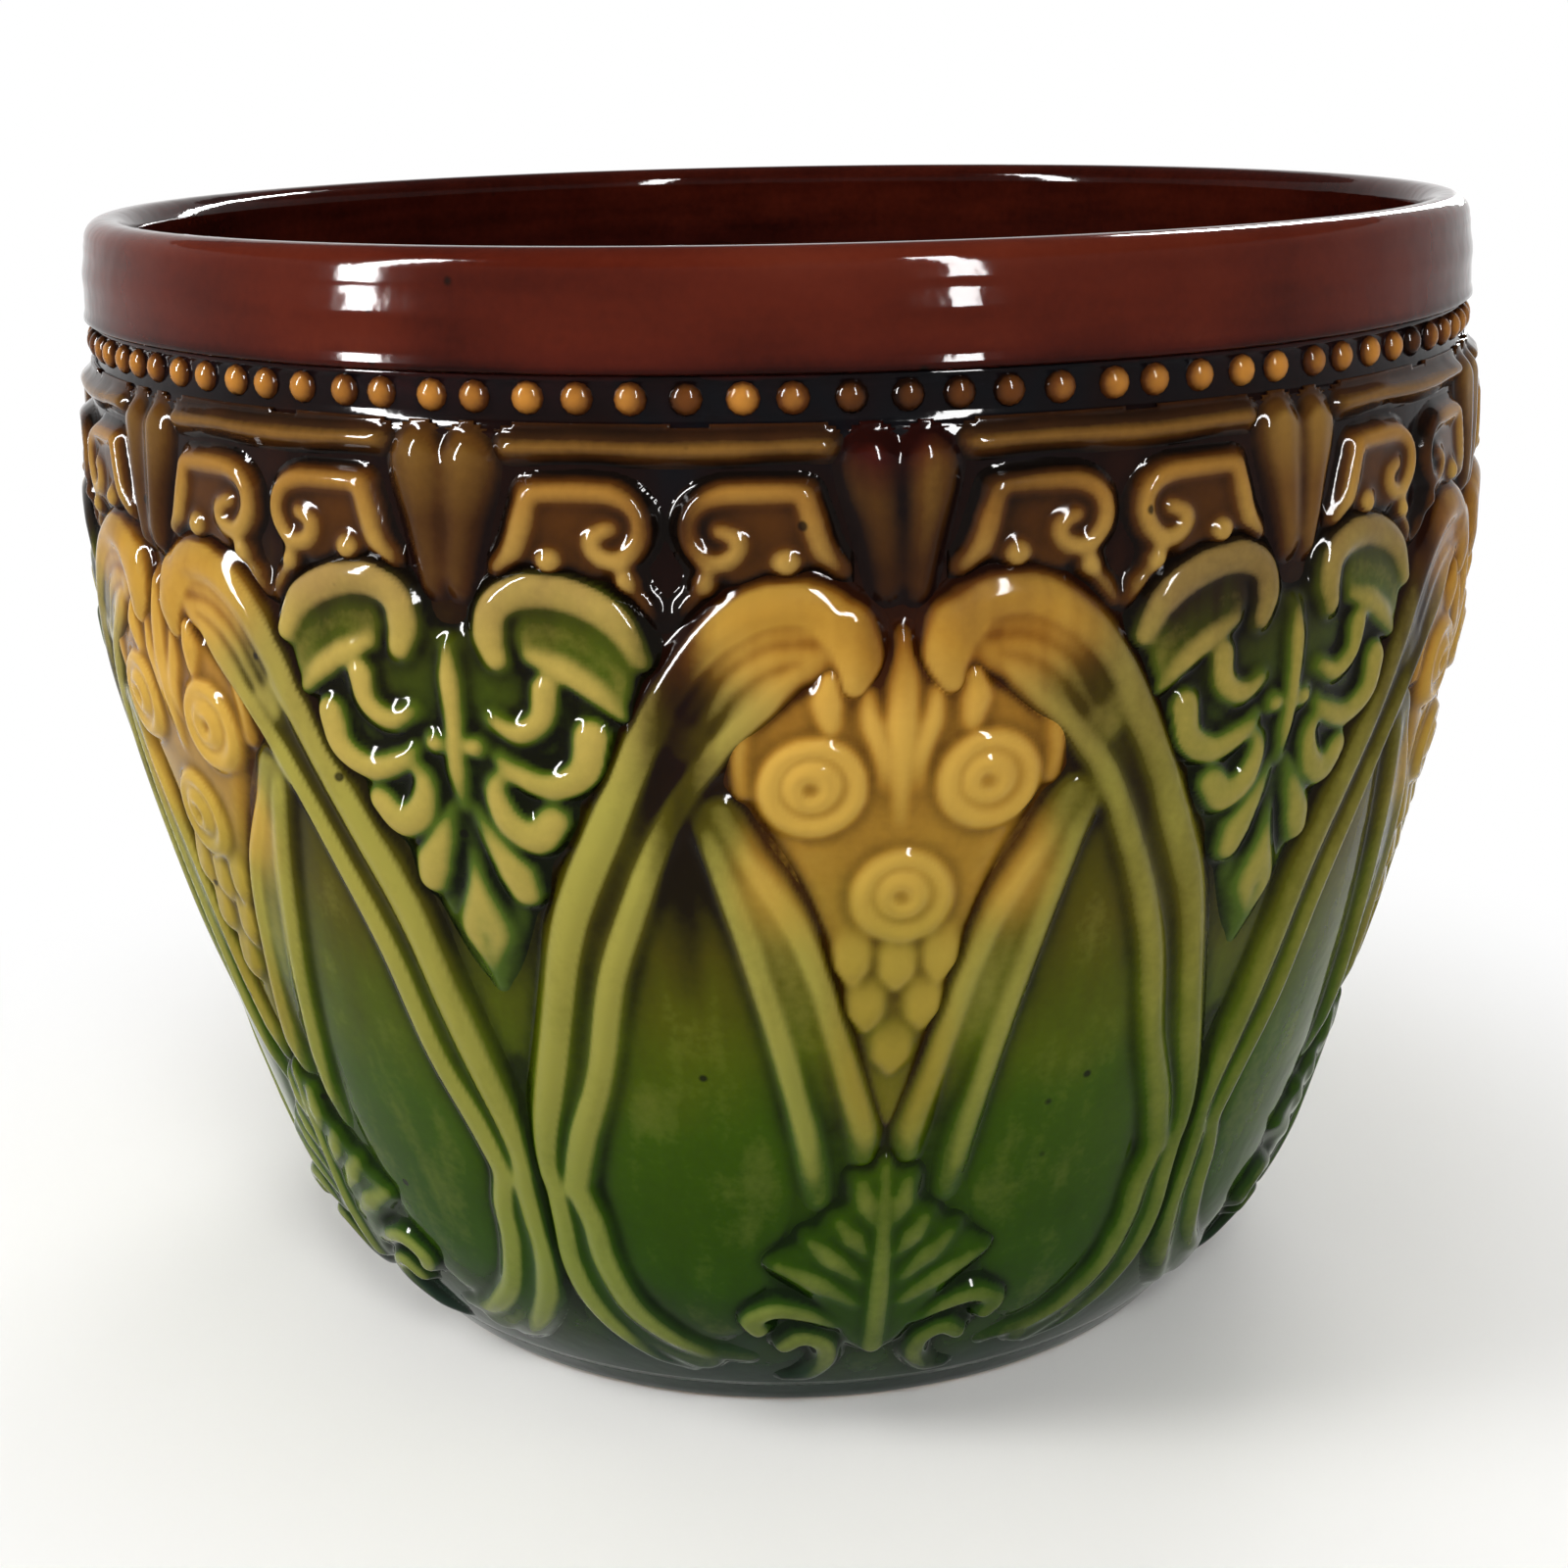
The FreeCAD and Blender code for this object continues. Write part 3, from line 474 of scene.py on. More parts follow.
# Where each sprig sits in a panel, in degrees from the flower's middle, and whether it is turned over
layout = dict(
    flower=((0, False),), footLeaf=((0, False),), palmette=((30, False),), tongue=((0, False), (30, False)),
    bracket=((15, False), (45, False)), fillet=((15, False), (45, False)), leafPanel=((15, False), (45, True)),
)


# How the glaze lies: thin on the ridges, pooled beside them, and honey-coloured round the flowers

pooling = dict(low=1.4, high=2.9, thin=0.44, honeyShare=0.05, wide=3.6, sunk=1.2, sunkShare=0.28, near=1.1,
               crease=0.26, creaseShare=0.27, ridgeShare=0.08,
               seam=0.45, seamWidth=0.6, seamLow=24.0, seamHigh=90.0)
honeySpots = (  # angle, level, reach in degrees, reach in millimetres
    (0.0, 152, 9.0, 20), (0.0, 124, 6.5, 18), (0.0, 95, 5.0, 20), (6.5, 173, 7.0, 10), (-6.5, 173, 7.0, 10),
    (8.0, 131, 3.2, 12), (-8.0, 131, 3.2, 12),
)


def panelHeights():
    total = np.zeros((rows, mould["columns"]))
    for name, spots in layout.items():
        m = sprigs[name]
        for middle, turnedOver in spots:
            field = m.height[:, ::-1] if turnedOver else m.height
            cols = (int(round(middle / colStep)) + np.arange(-m.half, m.half + 1)) % mould["columns"]
            total[:, cols] = np.maximum(total[:, cols], field)
    return total


def glazeFields():
    height = panelHeights()
    p = pooling
    share = np.clip((height - p["low"]) / (p["high"] - p["low"]), 0, 1)
    sunk = blurred(height, p["wide"] / mould["rowStep"], wrap=True) - height
    crease = blurred(height, p["near"] / mould["rowStep"], wrap=True) - height
    depth = (0.5 - p["thin"] * share * share * (3 - 2 * share) + p["sunkShare"] * np.clip(sunk / p["sunk"], 0,
                                                                                          1)
             + p["creaseShare"] * np.clip(crease / p["crease"], 0, 1)
             - p["ridgeShare"] * np.clip(-crease / p["crease"], 0, 1))
    angle = np.arange(mould["columns"]) * colStep
    angle = np.where(angle > panelAngle / 2, angle - panelAngle, angle)[None, :]
    level = rowLevels[:, None]
    clear = np.ones((rows, mould["columns"]))
    for a, z, da, dz in honeySpots:
        clear *= 1 - np.exp(-(((angle - a) / da) ** 2 + ((level - z) / dz) ** 2) ** 2)
    honey = 1 - clear
    # the straps of two panels meet in a seam, where the glaze lies deepest
    seam = p["seam"] * np.exp(-((np.abs(angle) - panelAngle / 2) / p["seamWidth"]) ** 2)
    seam = seam * ((level > p["seamLow"]) & (level < p["seamHigh"]))
    return np.clip(depth + seam - p["honeyShare"] * honey, 0, 1), honey


poolField, honeyField = glazeFields()

# Brown runs from the rim: angle round the pot, width in degrees, the level each has run down to
runs = ((-14.6, 2.0, 100), (-1.0, 4.0, 158), (5.0, 11.0, 182), (47.0, 2.0, 140), (76.0, 3.2, 128),
        (118.0, 3.0, 112), (163.0, 2.4, 136),
        (197.0, 3.4, 122), (238.0, 2.2, 142), (281.0, 3.0, 116))
runForm = dict(length=45.0, tip=0.55,
               fade=0.7)     # a run narrows to its tip and thins out over its last stretch


def runAt(angle, level):
    total = np.zeros(np.shape(angle))
    for middle, width, low in runs:
        off = (np.asarray(angle) - middle + 180) % 360 - 180
        fall = np.clip((np.asarray(level) - low) / runForm["length"], 0, 1)
        across = width * (runForm["tip"] + (1 - runForm["tip"]) * fall)
        total = np.maximum(total, np.exp(-(off / across) ** 2) * fall ** runForm["fade"])
    return total


def fieldAt(field, angle, level):
    # reads the glaze between the points of the mould grid
    column = (np.asarray(angle) / colStep) % mould["columns"]
    row = np.clip(np.interp(level, levelTable, lengthTable) / mould["rowStep"], 0, rows - 1.001)
    c0, r0 = column.astype(int) % mould["columns"], row.astype(int)
    c1 = (c0 + 1) % mould["columns"]
    fc, fr = column - np.floor(column), row - r0
    return ((field[r0, c0] * (1 - fc) + field[r0, c1] * fc) * (1 - fr)
            + (field[r0 + 1, c0] * (1 - fc) + field[r0 + 1, c1] * fc) * fr)


print("glaze laid on", poolField.size, "points of a panel")


# Materials

def linear(text):
    parts = [int(text[i:i + 2], 16) / 255 for i in (1, 3, 5)]
    return [c / 12.92 if c <= 0.04045 else ((c + 0.055) / 1.055) ** 2.4 for c in parts] + [1.0]


def addNode(tree, kind, settings=None, **links):
    node = tree.nodes.new(kind)
    for key, value in (settings or {}).items():
        if isinstance(key, str) and hasattr(node, key):
            setattr(node, key, value)
        else:
            node.inputs[key].default_value = value
    for key, source in links.items():
        socket = int(key[2:]) if key[:2] == "in" and key[2:].isdigit() else key.replace("_", " ")
        tree.links.new(source, node.inputs[socket])
    return node


def rampOver(tree, source, stops):
    # colours by height on the pot, in millimetres
    ramp = addNode(tree, "ShaderNodeValToRGB", in0=source)
    elements = ramp.color_ramp.elements
    while len(elements) < len(stops):
        elements.new(0.5)
    for element, (level, colour) in zip(elements, stops):
        element.position = level / pot["height"]
        element.color = linear(colour)
    return ramp.outputs["Color"]


# Lead glaze over earthenware: wet-looking, pale where thin on the ridges, dark where it pools.
# The index is set below lead glaze's 1.6, because the studio is paler than a room and would veil the colours
glazeSurface = dict(ior=1.14, runDepth=0.65, runShift=12.0, roughness=0.05, roughSpread=0.05, peel=7.0,
                    peelDepth=0.00010, ripple=2.2, rippleDepth=0.00002,
                    runDrop=7.0, cloud=30.0, cloudShift=12.0, patch=14.0, patchDepth=0.05, mottle=1.6,
                    pinholeGap=17.0, pinhole=0.6, pinholeDark=0.85,
                    noiseLow=0.3, noiseHigh=0.7)


def glazeDepth(tree, zone, thickness, colours):
    thin, middle, thick = (rampOver(tree, zone, colours[k]) for k in ("thin", "middle", "thick"))
    toMiddle = addNode(tree, "ShaderNodeMapRange", {"From Min": 0.0, "From Max": 0.5},
                       Value=thickness).outputs[0]
    toThick = addNode(tree, "ShaderNodeMapRange", {"From Min": 0.5, "From Max": 1.0},
                      Value=thickness).outputs[0]
    lower = addNode(tree, "ShaderNodeMix", dict(data_type="RGBA"), in0=toMiddle, in6=thin, in7=middle)
    return addNode(tree, "ShaderNodeMix", dict(data_type="RGBA"), in0=toThick, in6=lower.outputs[2],
                   in7=thick).outputs[2]


def leadGlaze(name, colours, honey=None, mottle=0.025, drawnOut=0.08, sway=1.0, streakWidth=7.0,
              streakDepth=0.0):
    s = glazeSurface
    material = bpy.data.materials.new(name)
    material.use_nodes = True
    tree = material.node_tree
    shader = tree.nodes["Principled BSDF"]
    spot = addNode(tree, "ShaderNodeTexCoord").outputs["Object"]
    level = addNode(tree, "ShaderNodeSeparateXYZ", in0=spot).outputs["Z"]
    # noises in the glaze, each by its size in millimetres and its detail; streaks are drawn out down the wall
    drawn = addNode(tree, "ShaderNodeMapping", dict(Scale=(1, 1, drawnOut)), Vector=spot).outputs[0]
    sizes = dict(streaks=(streakWidth, 2.0), cloud=(s["cloud"], 2.0), dots=(s["mottle"], 3.0),
                 patches=(s["patch"], 2.0), peel=(s["peel"], 1.0), ripple=(s["ripple"], 1.0))
    noise = {kind: addNode(tree, "ShaderNodeTexNoise", {"Scale": 1 / (size * mm), "Detail": detail},
                           Vector=drawn if kind == "streaks" else spot).outputs[0]
             for kind, (size, detail) in sizes.items()}
    # how far each noise shifts the colours up or down, and how much it thins or thickens the glaze
    swings = dict(streakShift=("streaks", 0.5 * sway * s["runDrop"] * mm),
                  cloudShift=("cloud", 0.5 * sway * s["cloudShift"] * mm),
                  speckle=("dots", mottle), drift=("patches", s["patchDepth"]),
                  brushed=("streaks", streakDepth))
    fromNoise = {"From Min": s["noiseLow"], "From Max": s["noiseHigh"]}
    swung = {use: addNode(tree, "ShaderNodeMapRange", {**fromNoise, "To Min": -far, "To Max": far},
                          Value=noise[kind]).outputs[0]
             for use, (kind, far) in swings.items()}
    run, pool, share = (addNode(tree, "ShaderNodeAttribute", dict(attribute_name=layer)).outputs["Fac"]
                        for layer in ("run", "pool", "honey"))
    swayed = addNode(tree, "ShaderNodeMath", {"operation": "MULTIPLY_ADD", 1: s["runShift"] * mm}, in0=run,
                     in2=level).outputs[0]
    thickness = addNode(tree, "ShaderNodeMath", {"operation": "MULTIPLY_ADD", 1: s["runDepth"]}, in0=run,
                        in2=pool).outputs[0]
    for use in ("streakShift", "cloudShift"):
        swayed = addNode(tree, "ShaderNodeMath", dict(operation="ADD"), in0=swayed, in1=swung[use]).outputs[0]
    for use in ("speckle", "drift", "brushed"):
        thickness = addNode(tree, "ShaderNodeMath", dict(operation="ADD"), in0=thickness,
                            in1=swung[use]).outputs[0]
    zone = addNode(tree, "ShaderNodeMapRange", {"From Max": pot["height"] * mm}, Value=swayed).outputs[0]
    colour = glazeDepth(tree, zone, thickness, colours)
    if honey:
        colour = addNode(tree, "ShaderNodeMix", dict(data_type="RGBA"), in0=share, in6=colour,
                         in7=glazeDepth(tree, zone, thickness, honey)).outputs[2]
    # a few pinholes, where bubbles broke in the glaze
    cells = addNode(tree, "ShaderNodeTexVoronoi", {"Scale": 1 / (s["pinholeGap"] * mm)},
                    Vector=spot).outputs["Distance"]
    across = s["pinhole"] / s["pinholeGap"]
    hole = addNode(tree, "ShaderNodeMapRange", {"From Min": across, "From Max": 1.8 * across,
                   "To Min": s["pinholeDark"], "To Max": 0.0}, Value=cells).outputs[0]
    speck = addNode(tree, "ShaderNodeMix", dict(data_type="RGBA"), in0=hole, in6=colour)
    speck.inputs[7].default_value = linear("#0c0a06")
    tree.links.new(speck.outputs[2], shader.inputs["Base Color"])
    rough = addNode(tree, "ShaderNodeMapRange", {**fromNoise, "To Min": s["roughness"],
                    "To Max": s["roughness"] + s["roughSpread"]}, Value=noise["cloud"])
    tree.links.new(rough.outputs[0], shader.inputs["Roughness"])
    shader.inputs["IOR"].default_value = s["ior"]
    coarse = addNode(tree, "ShaderNodeBump", {"Distance": s["peelDepth"]}, Height=noise["peel"]).outputs[0]
    fine = addNode(tree, "ShaderNodeBump", {"Distance": s["rippleDepth"]}, Height=noise["ripple"],
                   Normal=coarse)
    tree.links.new(fine.outputs[0], shader.inputs["Normal"])
    return material


# colours by level up the pot: green on the wall, brown above, teal at the foot
greenColours = dict(
    thin=((0, "#1c2a22"), (12, "#3a4a2a"), (22, "#666e34"), (45, "#6c7432"), (80, "#787834"), (110, "#868038"),
          (140, "#8c843a"),
          (165, "#88783a"), (182, "#7c6630"), (196, "#7c5c2c"), (205, "#6a4a20"), (214, "#5c2a16"),
          (233, "#5a2012")),
    middle=((0, "#16231d"), (12, "#1a2a20"), (22, "#1e3010"), (38, "#223c04"), (55, "#243c00"), (75, "#2e4402"),
            (95, "#3f4904"),
            (120, "#443f06"), (150, "#3e3806"), (170, "#2e2006"), (182, "#2a1306"), (196, "#220d06"),
            (205, "#100807"), (214, "#3a100a"),
            (233, "#480f04")),
    thick=((0, "#0a120e"), (22, "#081406"), (55, "#0a1800"), (95, "#141a00"), (125, "#140f02"),
           (165, "#160804"), (200, "#120604"),
           (214, "#0b0b0e"), (233, "#160504")),
)
honeyColours = dict(
    thin=((0, "#7e7028"), (95, "#827228"), (114, "#968032"), (130, "#aa8a3a"), (160, "#b68e3e"),
          (176, "#a47a2c"), (192, "#86622a"),
          (214, "#6a2c14"), (233, "#5a2012")),
    middle=((0, "#4a4a10"), (95, "#5a5414"), (114, "#786420"), (130, "#8a6822"), (160, "#906622"),
            (176, "#784c14"), (192, "#4c2810"),
            (214, "#3a100a"), (233, "#480f04")),
    thick=((0, "#1e1804"), (95, "#241804"), (130, "#361e03"), (160, "#3c1e03"), (176, "#2a1003"),
           (192, "#160804"), (233, "#160504")),
)
amberColours = dict(
    thin=((0, "#94743a"), (182, "#9c7c3c"), (196, "#8a6228"), (204, "#7e5a26"), (209, "#a8702c"),
          (233, "#ae7b3d")),
    middle=((0, "#4a2e0c"), (182, "#45270a"), (196, "#48280c"), (204, "#2c1a0c"), (209, "#4c2810"),
            (233, "#6a3e18")),
    thick=((0, "#120a06"), (182, "#100805"), (204, "#0c0806"), (209, "#1a0c06"), (233, "#160c08")),
)
brownColours = dict(
    thin=((0, "#3a120a"), (120, "#43160c"), (178, "#62461f"), (190, "#5a3c1a"), (204, "#80602a"),
          (212, "#6a2c18"), (220, "#582012"),
          (233, "#5a2416")),
    middle=((0, "#0e0403"), (120, "#160604"), (178, "#3a200c"), (190, "#301a08"), (204, "#4a2e10"),
            (212, "#38100a"), (220, "#4a180c"),
            (233, "#46160b")),
    thick=((0, "#0c0303"), (120, "#0e0403"), (178, "#140806"), (204, "#120a08"), (212, "#1a0604"),
           (233, "#220603")),
)
insideColours = dict(
    thin=((0, "#4a2014"), (120, "#4a1c10"), (200, "#481a10"), (233, "#5a2416")),
    middle=((0, "#34160d"), (120, "#30120a"), (200, "#2c0f08"), (213, "#300f08"), (233, "#46160b")),
    thick=((0, "#1c0b07"), (120, "#1a0906"), (200, "#180705"), (213, "#1c0805"), (233, "#220603")),
)
leafColours = dict(
    thin=((0, "#7e7c38"), (105, "#8e8240"), (135, "#9c8a42"), (165, "#a28c44"), (182, "#8e7440"),
          (233, "#7c5c2c")),
    middle=((0, "#3a5010"), (105, "#42561a"), (135, "#425416"), (155, "#40500f"), (168, "#3a400a"),
            (180, "#22180a"), (233, "#1a0c06")),
    thick=((0, "#081002"), (135, "#0a0e02"), (165, "#0c0a02"), (182, "#0a0604"), (233, "#0a0605")),
)
# the coloured wall and its leaves
wallGlaze = leadGlaze("leadGlazeGreen", greenColours, honeyColours, streakDepth=0.07)
# the palmettes, brighter than the wall
leafGlaze = leadGlaze("leadGlazeLeafGreen", leafColours)
# the flower's ochre, amber in the hollows
honeyGlaze = leadGlaze("leadGlazeHoney", honeyColours)
# the dark brown wash inside
insideGlaze = leadGlaze("leadGlazeInside", insideColours, sway=0.1)
# beads, fillets and brackets over a dark ground
amberGlaze = leadGlaze("leadGlazeAmber", amberColours, sway=0.15)
# iron brown, brushed round the collar
collarGlaze = leadGlaze("leadGlazeRedBrown", brownColours, mottle=0.04, drawnOut=7.0, sway=0.1,
                        streakWidth=40.0, streakDepth=0.09)
# the same brown, run down the tongues
tongueGlaze = leadGlaze("leadGlazeTongueBrown", brownColours, sway=0.1)


def bareEarthenware():
    # unglazed fired clay on the standing edge: buff, matt and a little gritty
    material = bpy.data.materials.new("bareEarthenware")
    material.use_nodes = True
    tree = material.node_tree
    shader = tree.nodes["Principled BSDF"]
    spot = addNode(tree, "ShaderNodeTexCoord").outputs["Object"]
    grains = addNode(tree, "ShaderNodeTexNoise", {"Scale": 1 / (1.2 * mm), "Detail": 5.0},
                     Vector=spot).outputs[0]
    ramp = addNode(tree, "ShaderNodeValToRGB", in0=grains)
    ramp.color_ramp.elements[0].color = linear("#8a6a48")
    ramp.color_ramp.elements[1].color = linear("#c4a880")
    tree.links.new(ramp.outputs["Color"], shader.inputs["Base Color"])
    shader.inputs["Roughness"].default_value = 0.85
    bump = addNode(tree, "ShaderNodeBump", {"Strength": 0.5, "Distance": 0.0002}, Height=grains)
    tree.links.new(bump.outputs[0], shader.inputs["Normal"])
    return material


clay = bareEarthenware()
print("glazes mixed:", len(bpy.data.materials))


# Meshes

def setLayers(mesh, **layers):
    for name, values in layers.items():
        layer = mesh.attributes.get(name) or mesh.attributes.new(name, "FLOAT", "POINT")
        layer.data.foreach_set("value", np.asarray(values, np.float32))


def meshObject(name, points, faces, material, **layers):
    mesh = bpy.data.meshes.new(name)
    mesh.from_pydata((np.asarray(points) * mm).tolist(), [], faces)
    mesh.polygons.foreach_set("use_smooth", np.ones(len(mesh.polygons), bool))
    setLayers(mesh, **layers)
    mesh.materials.append(material)
    mesh.update()
    piece = bpy.data.objects.new(name, mesh)
    scene.collection.objects.link(piece)
    return piece


def meshPoints(mesh):
    spots = np.empty(3 * len(mesh.vertices))
    mesh.vertices.foreach_get("co", spots)
    return spots.reshape(-1, 3) / mm


def settle(piece, slotName, *nodes):
    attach(piece, "root")
    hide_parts(*nodes)


def grown(mask):
    out = mask.copy()
    out[1:] |= mask[:-1]
    out[:-1] |= mask[1:]
    out[:, 1:] |= mask[:, :-1]
    out[:, :-1] |= mask[:, 1:]
    return out


def plainBack(quad, number, rim):
    # the hidden back: few triangles, from the sprig's edge to a wide grid of points well inside it
    step, margin = mould["backStep"], mould["backMargin"]
    deep = np.zeros_like(number, bool)
    high, wide = number.shape
    deep[margin:-margin, margin:-margin] = True
    for di in range(-margin, margin):
        for dj in range(-margin, margin):
            deep[margin:-margin, margin:-margin] &= quad[margin + di:high - margin + di,
                                                         margin + dj:wide - margin + dj]
    deep[np.arange(deep.shape[0]) % step > 0] = False
    deep[:, np.arange(deep.shape[1]) % step > 0] = False
    chosen = np.concatenate((np.unique(rim), number[deep]))
    spotRow, spotCol = np.nonzero(number >= 0)
    spots = [Vector((float(spotCol[k]), float(spotRow[k]))) for k in chosen]
    at = {k: place for place, k in enumerate(chosen)}
    flat, _, loops, origin, _, _ = delaunay_2d_cdt(spots, [(at[a], at[b]) for a, b in rim], [], 0, 1e-5)
    back = []
    for loop in loops:
        col, row = sum((flat[k] for k in loop), Vector((0, 0))) / len(loop)
        if quad[int(row), int(col)]:
            back.append([int(chosen[origin[k][0]]) for k in reversed(loop)])
    return back


def sprigShell(m, middle):
    # a closed skin: the pressed face, a back just inside the wall, and the edge between them
    keep = grown(m.height > mould["edge"])
    quad = keep[:-1, :-1] & keep[1:, :-1] & keep[:-1, 1:] & keep[1:, 1:]
    used = np.zeros_like(keep)
    for di in (0, 1):
        for dj in (0, 1):
            used[di:used.shape[0] - 1 + di, dj:used.shape[1] - 1 + dj] |= quad
    count = int(used.sum())
    number = np.full(keep.shape, -1)
    number[used] = np.arange(count)
    i, j = np.nonzero(quad)
    front = np.column_stack((number[i, j], number[i, j + 1], number[i + 1, j + 1], number[i + 1, j]))
    ri, cj = np.nonzero(used)
    cols = (int(round(middle / colStep)) + cj - m.half) % mould["columns"]
    angle = np.radians(m.angles[cj])
    radius, lean = rowRadius[ri], rowLean[ri]

    def lifted(height):
        out = radius + height * np.cos(lean)
        return np.column_stack((out * np.sin(angle), -out * np.cos(angle),
                                rowLevels[ri] + height * np.sin(lean)))

    face, inside = lifted(m.height[ri, cj] - mould["sink"]), lifted(np.full(count, -mould["depth"]))
    edges = np.vstack([front[:, [k, (k + 1) % 4]] for k in range(4)])
    order = np.sort(edges, 1)
    _, first, times = np.unique(order[:, 0] * count + order[:, 1], return_index=True, return_counts=True)
    rim = edges[first[times == 1]]
    back = plainBack(quad, number, rim)
    kept = np.unique(np.concatenate(back))
    place = np.full(count, -1)
    place[kept] = count + np.arange(len(kept))
    sides = np.column_stack((rim[:, 1], rim[:, 0], place[rim[:, 0]], place[rim[:, 1]]))
    faces = front.tolist() + [place[loop].tolist() for loop in back] + sides.tolist()
    pool, honey = poolField[ri, cols], honeyField[ri, cols]
    return np.vstack((face, inside[kept])), faces, dict(pool=np.append(pool, pool[kept]),
                                                        honey=np.append(honey, honey[kept]))


def turned(points, degrees):
    c, s = math.cos(math.radians(degrees)), math.sin(math.radians(degrees))
    return points @ np.array([[c, s, 0], [-s, c, 0], [0, 0, 1]])


def roundAngle(points):
    return np.degrees(np.arctan2(points[:, 0], -points[:, 1]))


# Glaze, slot and node of each kind of sprig, the glaze it carries beyond the wall's, and how strongly its
# ridges carry painted shade on one side of the front and painted light on the other
finishes = dict(
    flower=(honeyGlaze, "honey_glaze", "flower_spray_{0}", 0.0, 0.24),
    palmette=(leafGlaze, "green_glaze", "palmette_{0}", 0.12, 0.10),
    footLeaf=(wallGlaze, "green_glaze", "foot_leaf_{0}", 0.23, 0.24),
    leafPanel=(wallGlaze, "green_glaze", "leaf_panel_{1:02d}", 0.0, 0.34),
    bracket=(amberGlaze, "amber_glaze", "volute_bracket_{1:02d}", 0.0, 0.0),
    tongue=(tongueGlaze, "brown_glaze", "tongue_{1:02d}", 0.0, -0.3),
)


def placeSprigs():
    triangles = 0
    for name, (material, slotName, nodeName, heavier, sideShade) in finishes.items():
        for half, (middle, turnedOver) in enumerate(layout[name]):
            points, faces, layers = sprigShell(sprigs[name], layout[name][0][0] if turnedOver else middle)
            pool, honey = layers["pool"], layers["honey"]
            if turnedOver:
                points = points * [-1, 1, 1]
                faces = [loop[::-1] for loop in faces]
            for panel in range(panels):
                node = nodeName.format(panel + 1, 2 * panel + half + 1)
                placed = turned(points, panel * panelAngle + middle)
                angle = roundAngle(placed)
                # painted shade and light: the thin glaze on the ridges is darkened right of the front and lightened
                # left of it, the other way round at the back, and reversed for a negative value
                brushed = sideShade * np.sin(np.radians(2 * angle)) * np.clip(1 - 2 * pool, 0, 1)
                piece = meshObject(node.replace("_", "-"), placed, faces, material, honey=honey,
                                   pool=np.clip(pool + heavier + brushed, 0, 1), run=runAt(angle, placed[:, 2]))
                settle(piece, slotName, node)
                triangles += sum(len(loop) - 2 for loop in faces)
    print("sprigs placed:", triangles, "triangles")


placeSprigs()


# Turned pieces: geometry nodes sweep a profile round the wheel

def wheelTree():
    tree = bpy.data.node_groups.new("turnOnWheel", "GeometryNodeTree")
    face = tree.interface
    face.new_socket("Profile", in_out="INPUT", socket_type="NodeSocketGeometry")
    inputs = {name: face.new_socket(name, in_out="INPUT", socket_type=kind).identifier
              for name, kind in (("Sides", "NodeSocketInt"), ("Wheel Radius", "NodeSocketFloat"),
                                 ("Glaze", "NodeSocketMaterial"))}
    face.new_socket("Geometry", in_out="OUTPUT", socket_type="NodeSocketGeometry")
    entry = addNode(tree, "NodeGroupInput")
    profile = addNode(tree, "GeometryNodeMeshToCurve", in0=entry.outputs["Profile"])
    circle = addNode(tree, "GeometryNodeCurvePrimitiveCircle", Resolution=entry.outputs["Sides"],
                     Radius=entry.outputs["Wheel Radius"])
    swept = addNode(tree, "GeometryNodeCurveToMesh", Curve=circle.outputs[0], Profile_Curve=profile.outputs[0])
    poles = addNode(tree, "GeometryNodeMergeByDistance", {"Distance": 0.00001}, Geometry=swept.outputs[0])
    whole = addNode(tree, "GeometryNodeRealizeInstances", Geometry=poles.outputs[0])
    glazed = addNode(tree, "GeometryNodeSetMaterial", Geometry=whole.outputs[0],
                     Material=entry.outputs["Glaze"])
    leave = addNode(tree, "NodeGroupOutput")
    tree.links.new(glazed.outputs[0], leave.inputs[0])
    return tree, inputs


wheel, wheelInputs = wheelTree()
wheelRadius = 100.0


def baked(piece, tree, values):
    modifier = piece.modifiers.new("maker", "NODES")
    modifier.node_group = tree
    for key, value in values.items():
        modifier[key] = value
    bpy.context.view_layer.update()
    mesh = bpy.data.meshes.new_from_object(piece.evaluated_get(bpy.context.evaluated_depsgraph_get()))
    piece.modifiers.clear()
    piece.data = mesh
    return piece


def turnPiece(name, profile, sides, material, closed):
    # the profile is a run of (radius, level) points round the clay; the sweep lays its second axis downward
    profile = np.asarray(profile, float)
    points = np.column_stack((profile[:, 0] - wheelRadius, -profile[:, 1], np.zeros(len(profile)))) * mm
    edges = [(k, k + 1) for k in range(len(profile) - 1)] + ([(len(profile) - 1, 0)] if closed else [])
    mesh = bpy.data.meshes.new(name)
    mesh.from_pydata(points.tolist(), edges, [])
    piece = bpy.data.objects.new(name, mesh)
    scene.collection.objects.link(piece)
    baked(piece, wheel, {wheelInputs["Sides"]: sides, wheelInputs["Wheel Radius"]: wheelRadius * mm,
                         wheelInputs["Glaze"]: material})
    mesh = piece.data
    shell = bmesh.new()
    shell.from_mesh(mesh)
    bmesh.ops.recalc_face_normals(shell, faces=shell.faces)
    shell.to_mesh(mesh)
    shell.free()
    mesh.polygons.foreach_set("use_smooth", np.ones(len(mesh.polygons), bool))
    return piece, meshPoints(mesh)


bowl = dict(sides=480, wallRows=120, insideRows=44, floorRows=9, coveLow=204.6, coveHigh=213.5, coveDepth=1.3,
            coveRows=10, coveEdge=0.16, coveTop=1.02, covePool=0.95, fade=1.0, fadeLength=1.5, skin=3.0,
            insidePool=0.7, underRing=60.0)
corner = 0.2                               # points this near a corner keep it crisp


def faceCentres(mesh):
    centres = np.empty(3 * len(mesh.polygons))
    mesh.polygons.foreach_get("center", centres)
    return centres.reshape(-1, 3) / mm


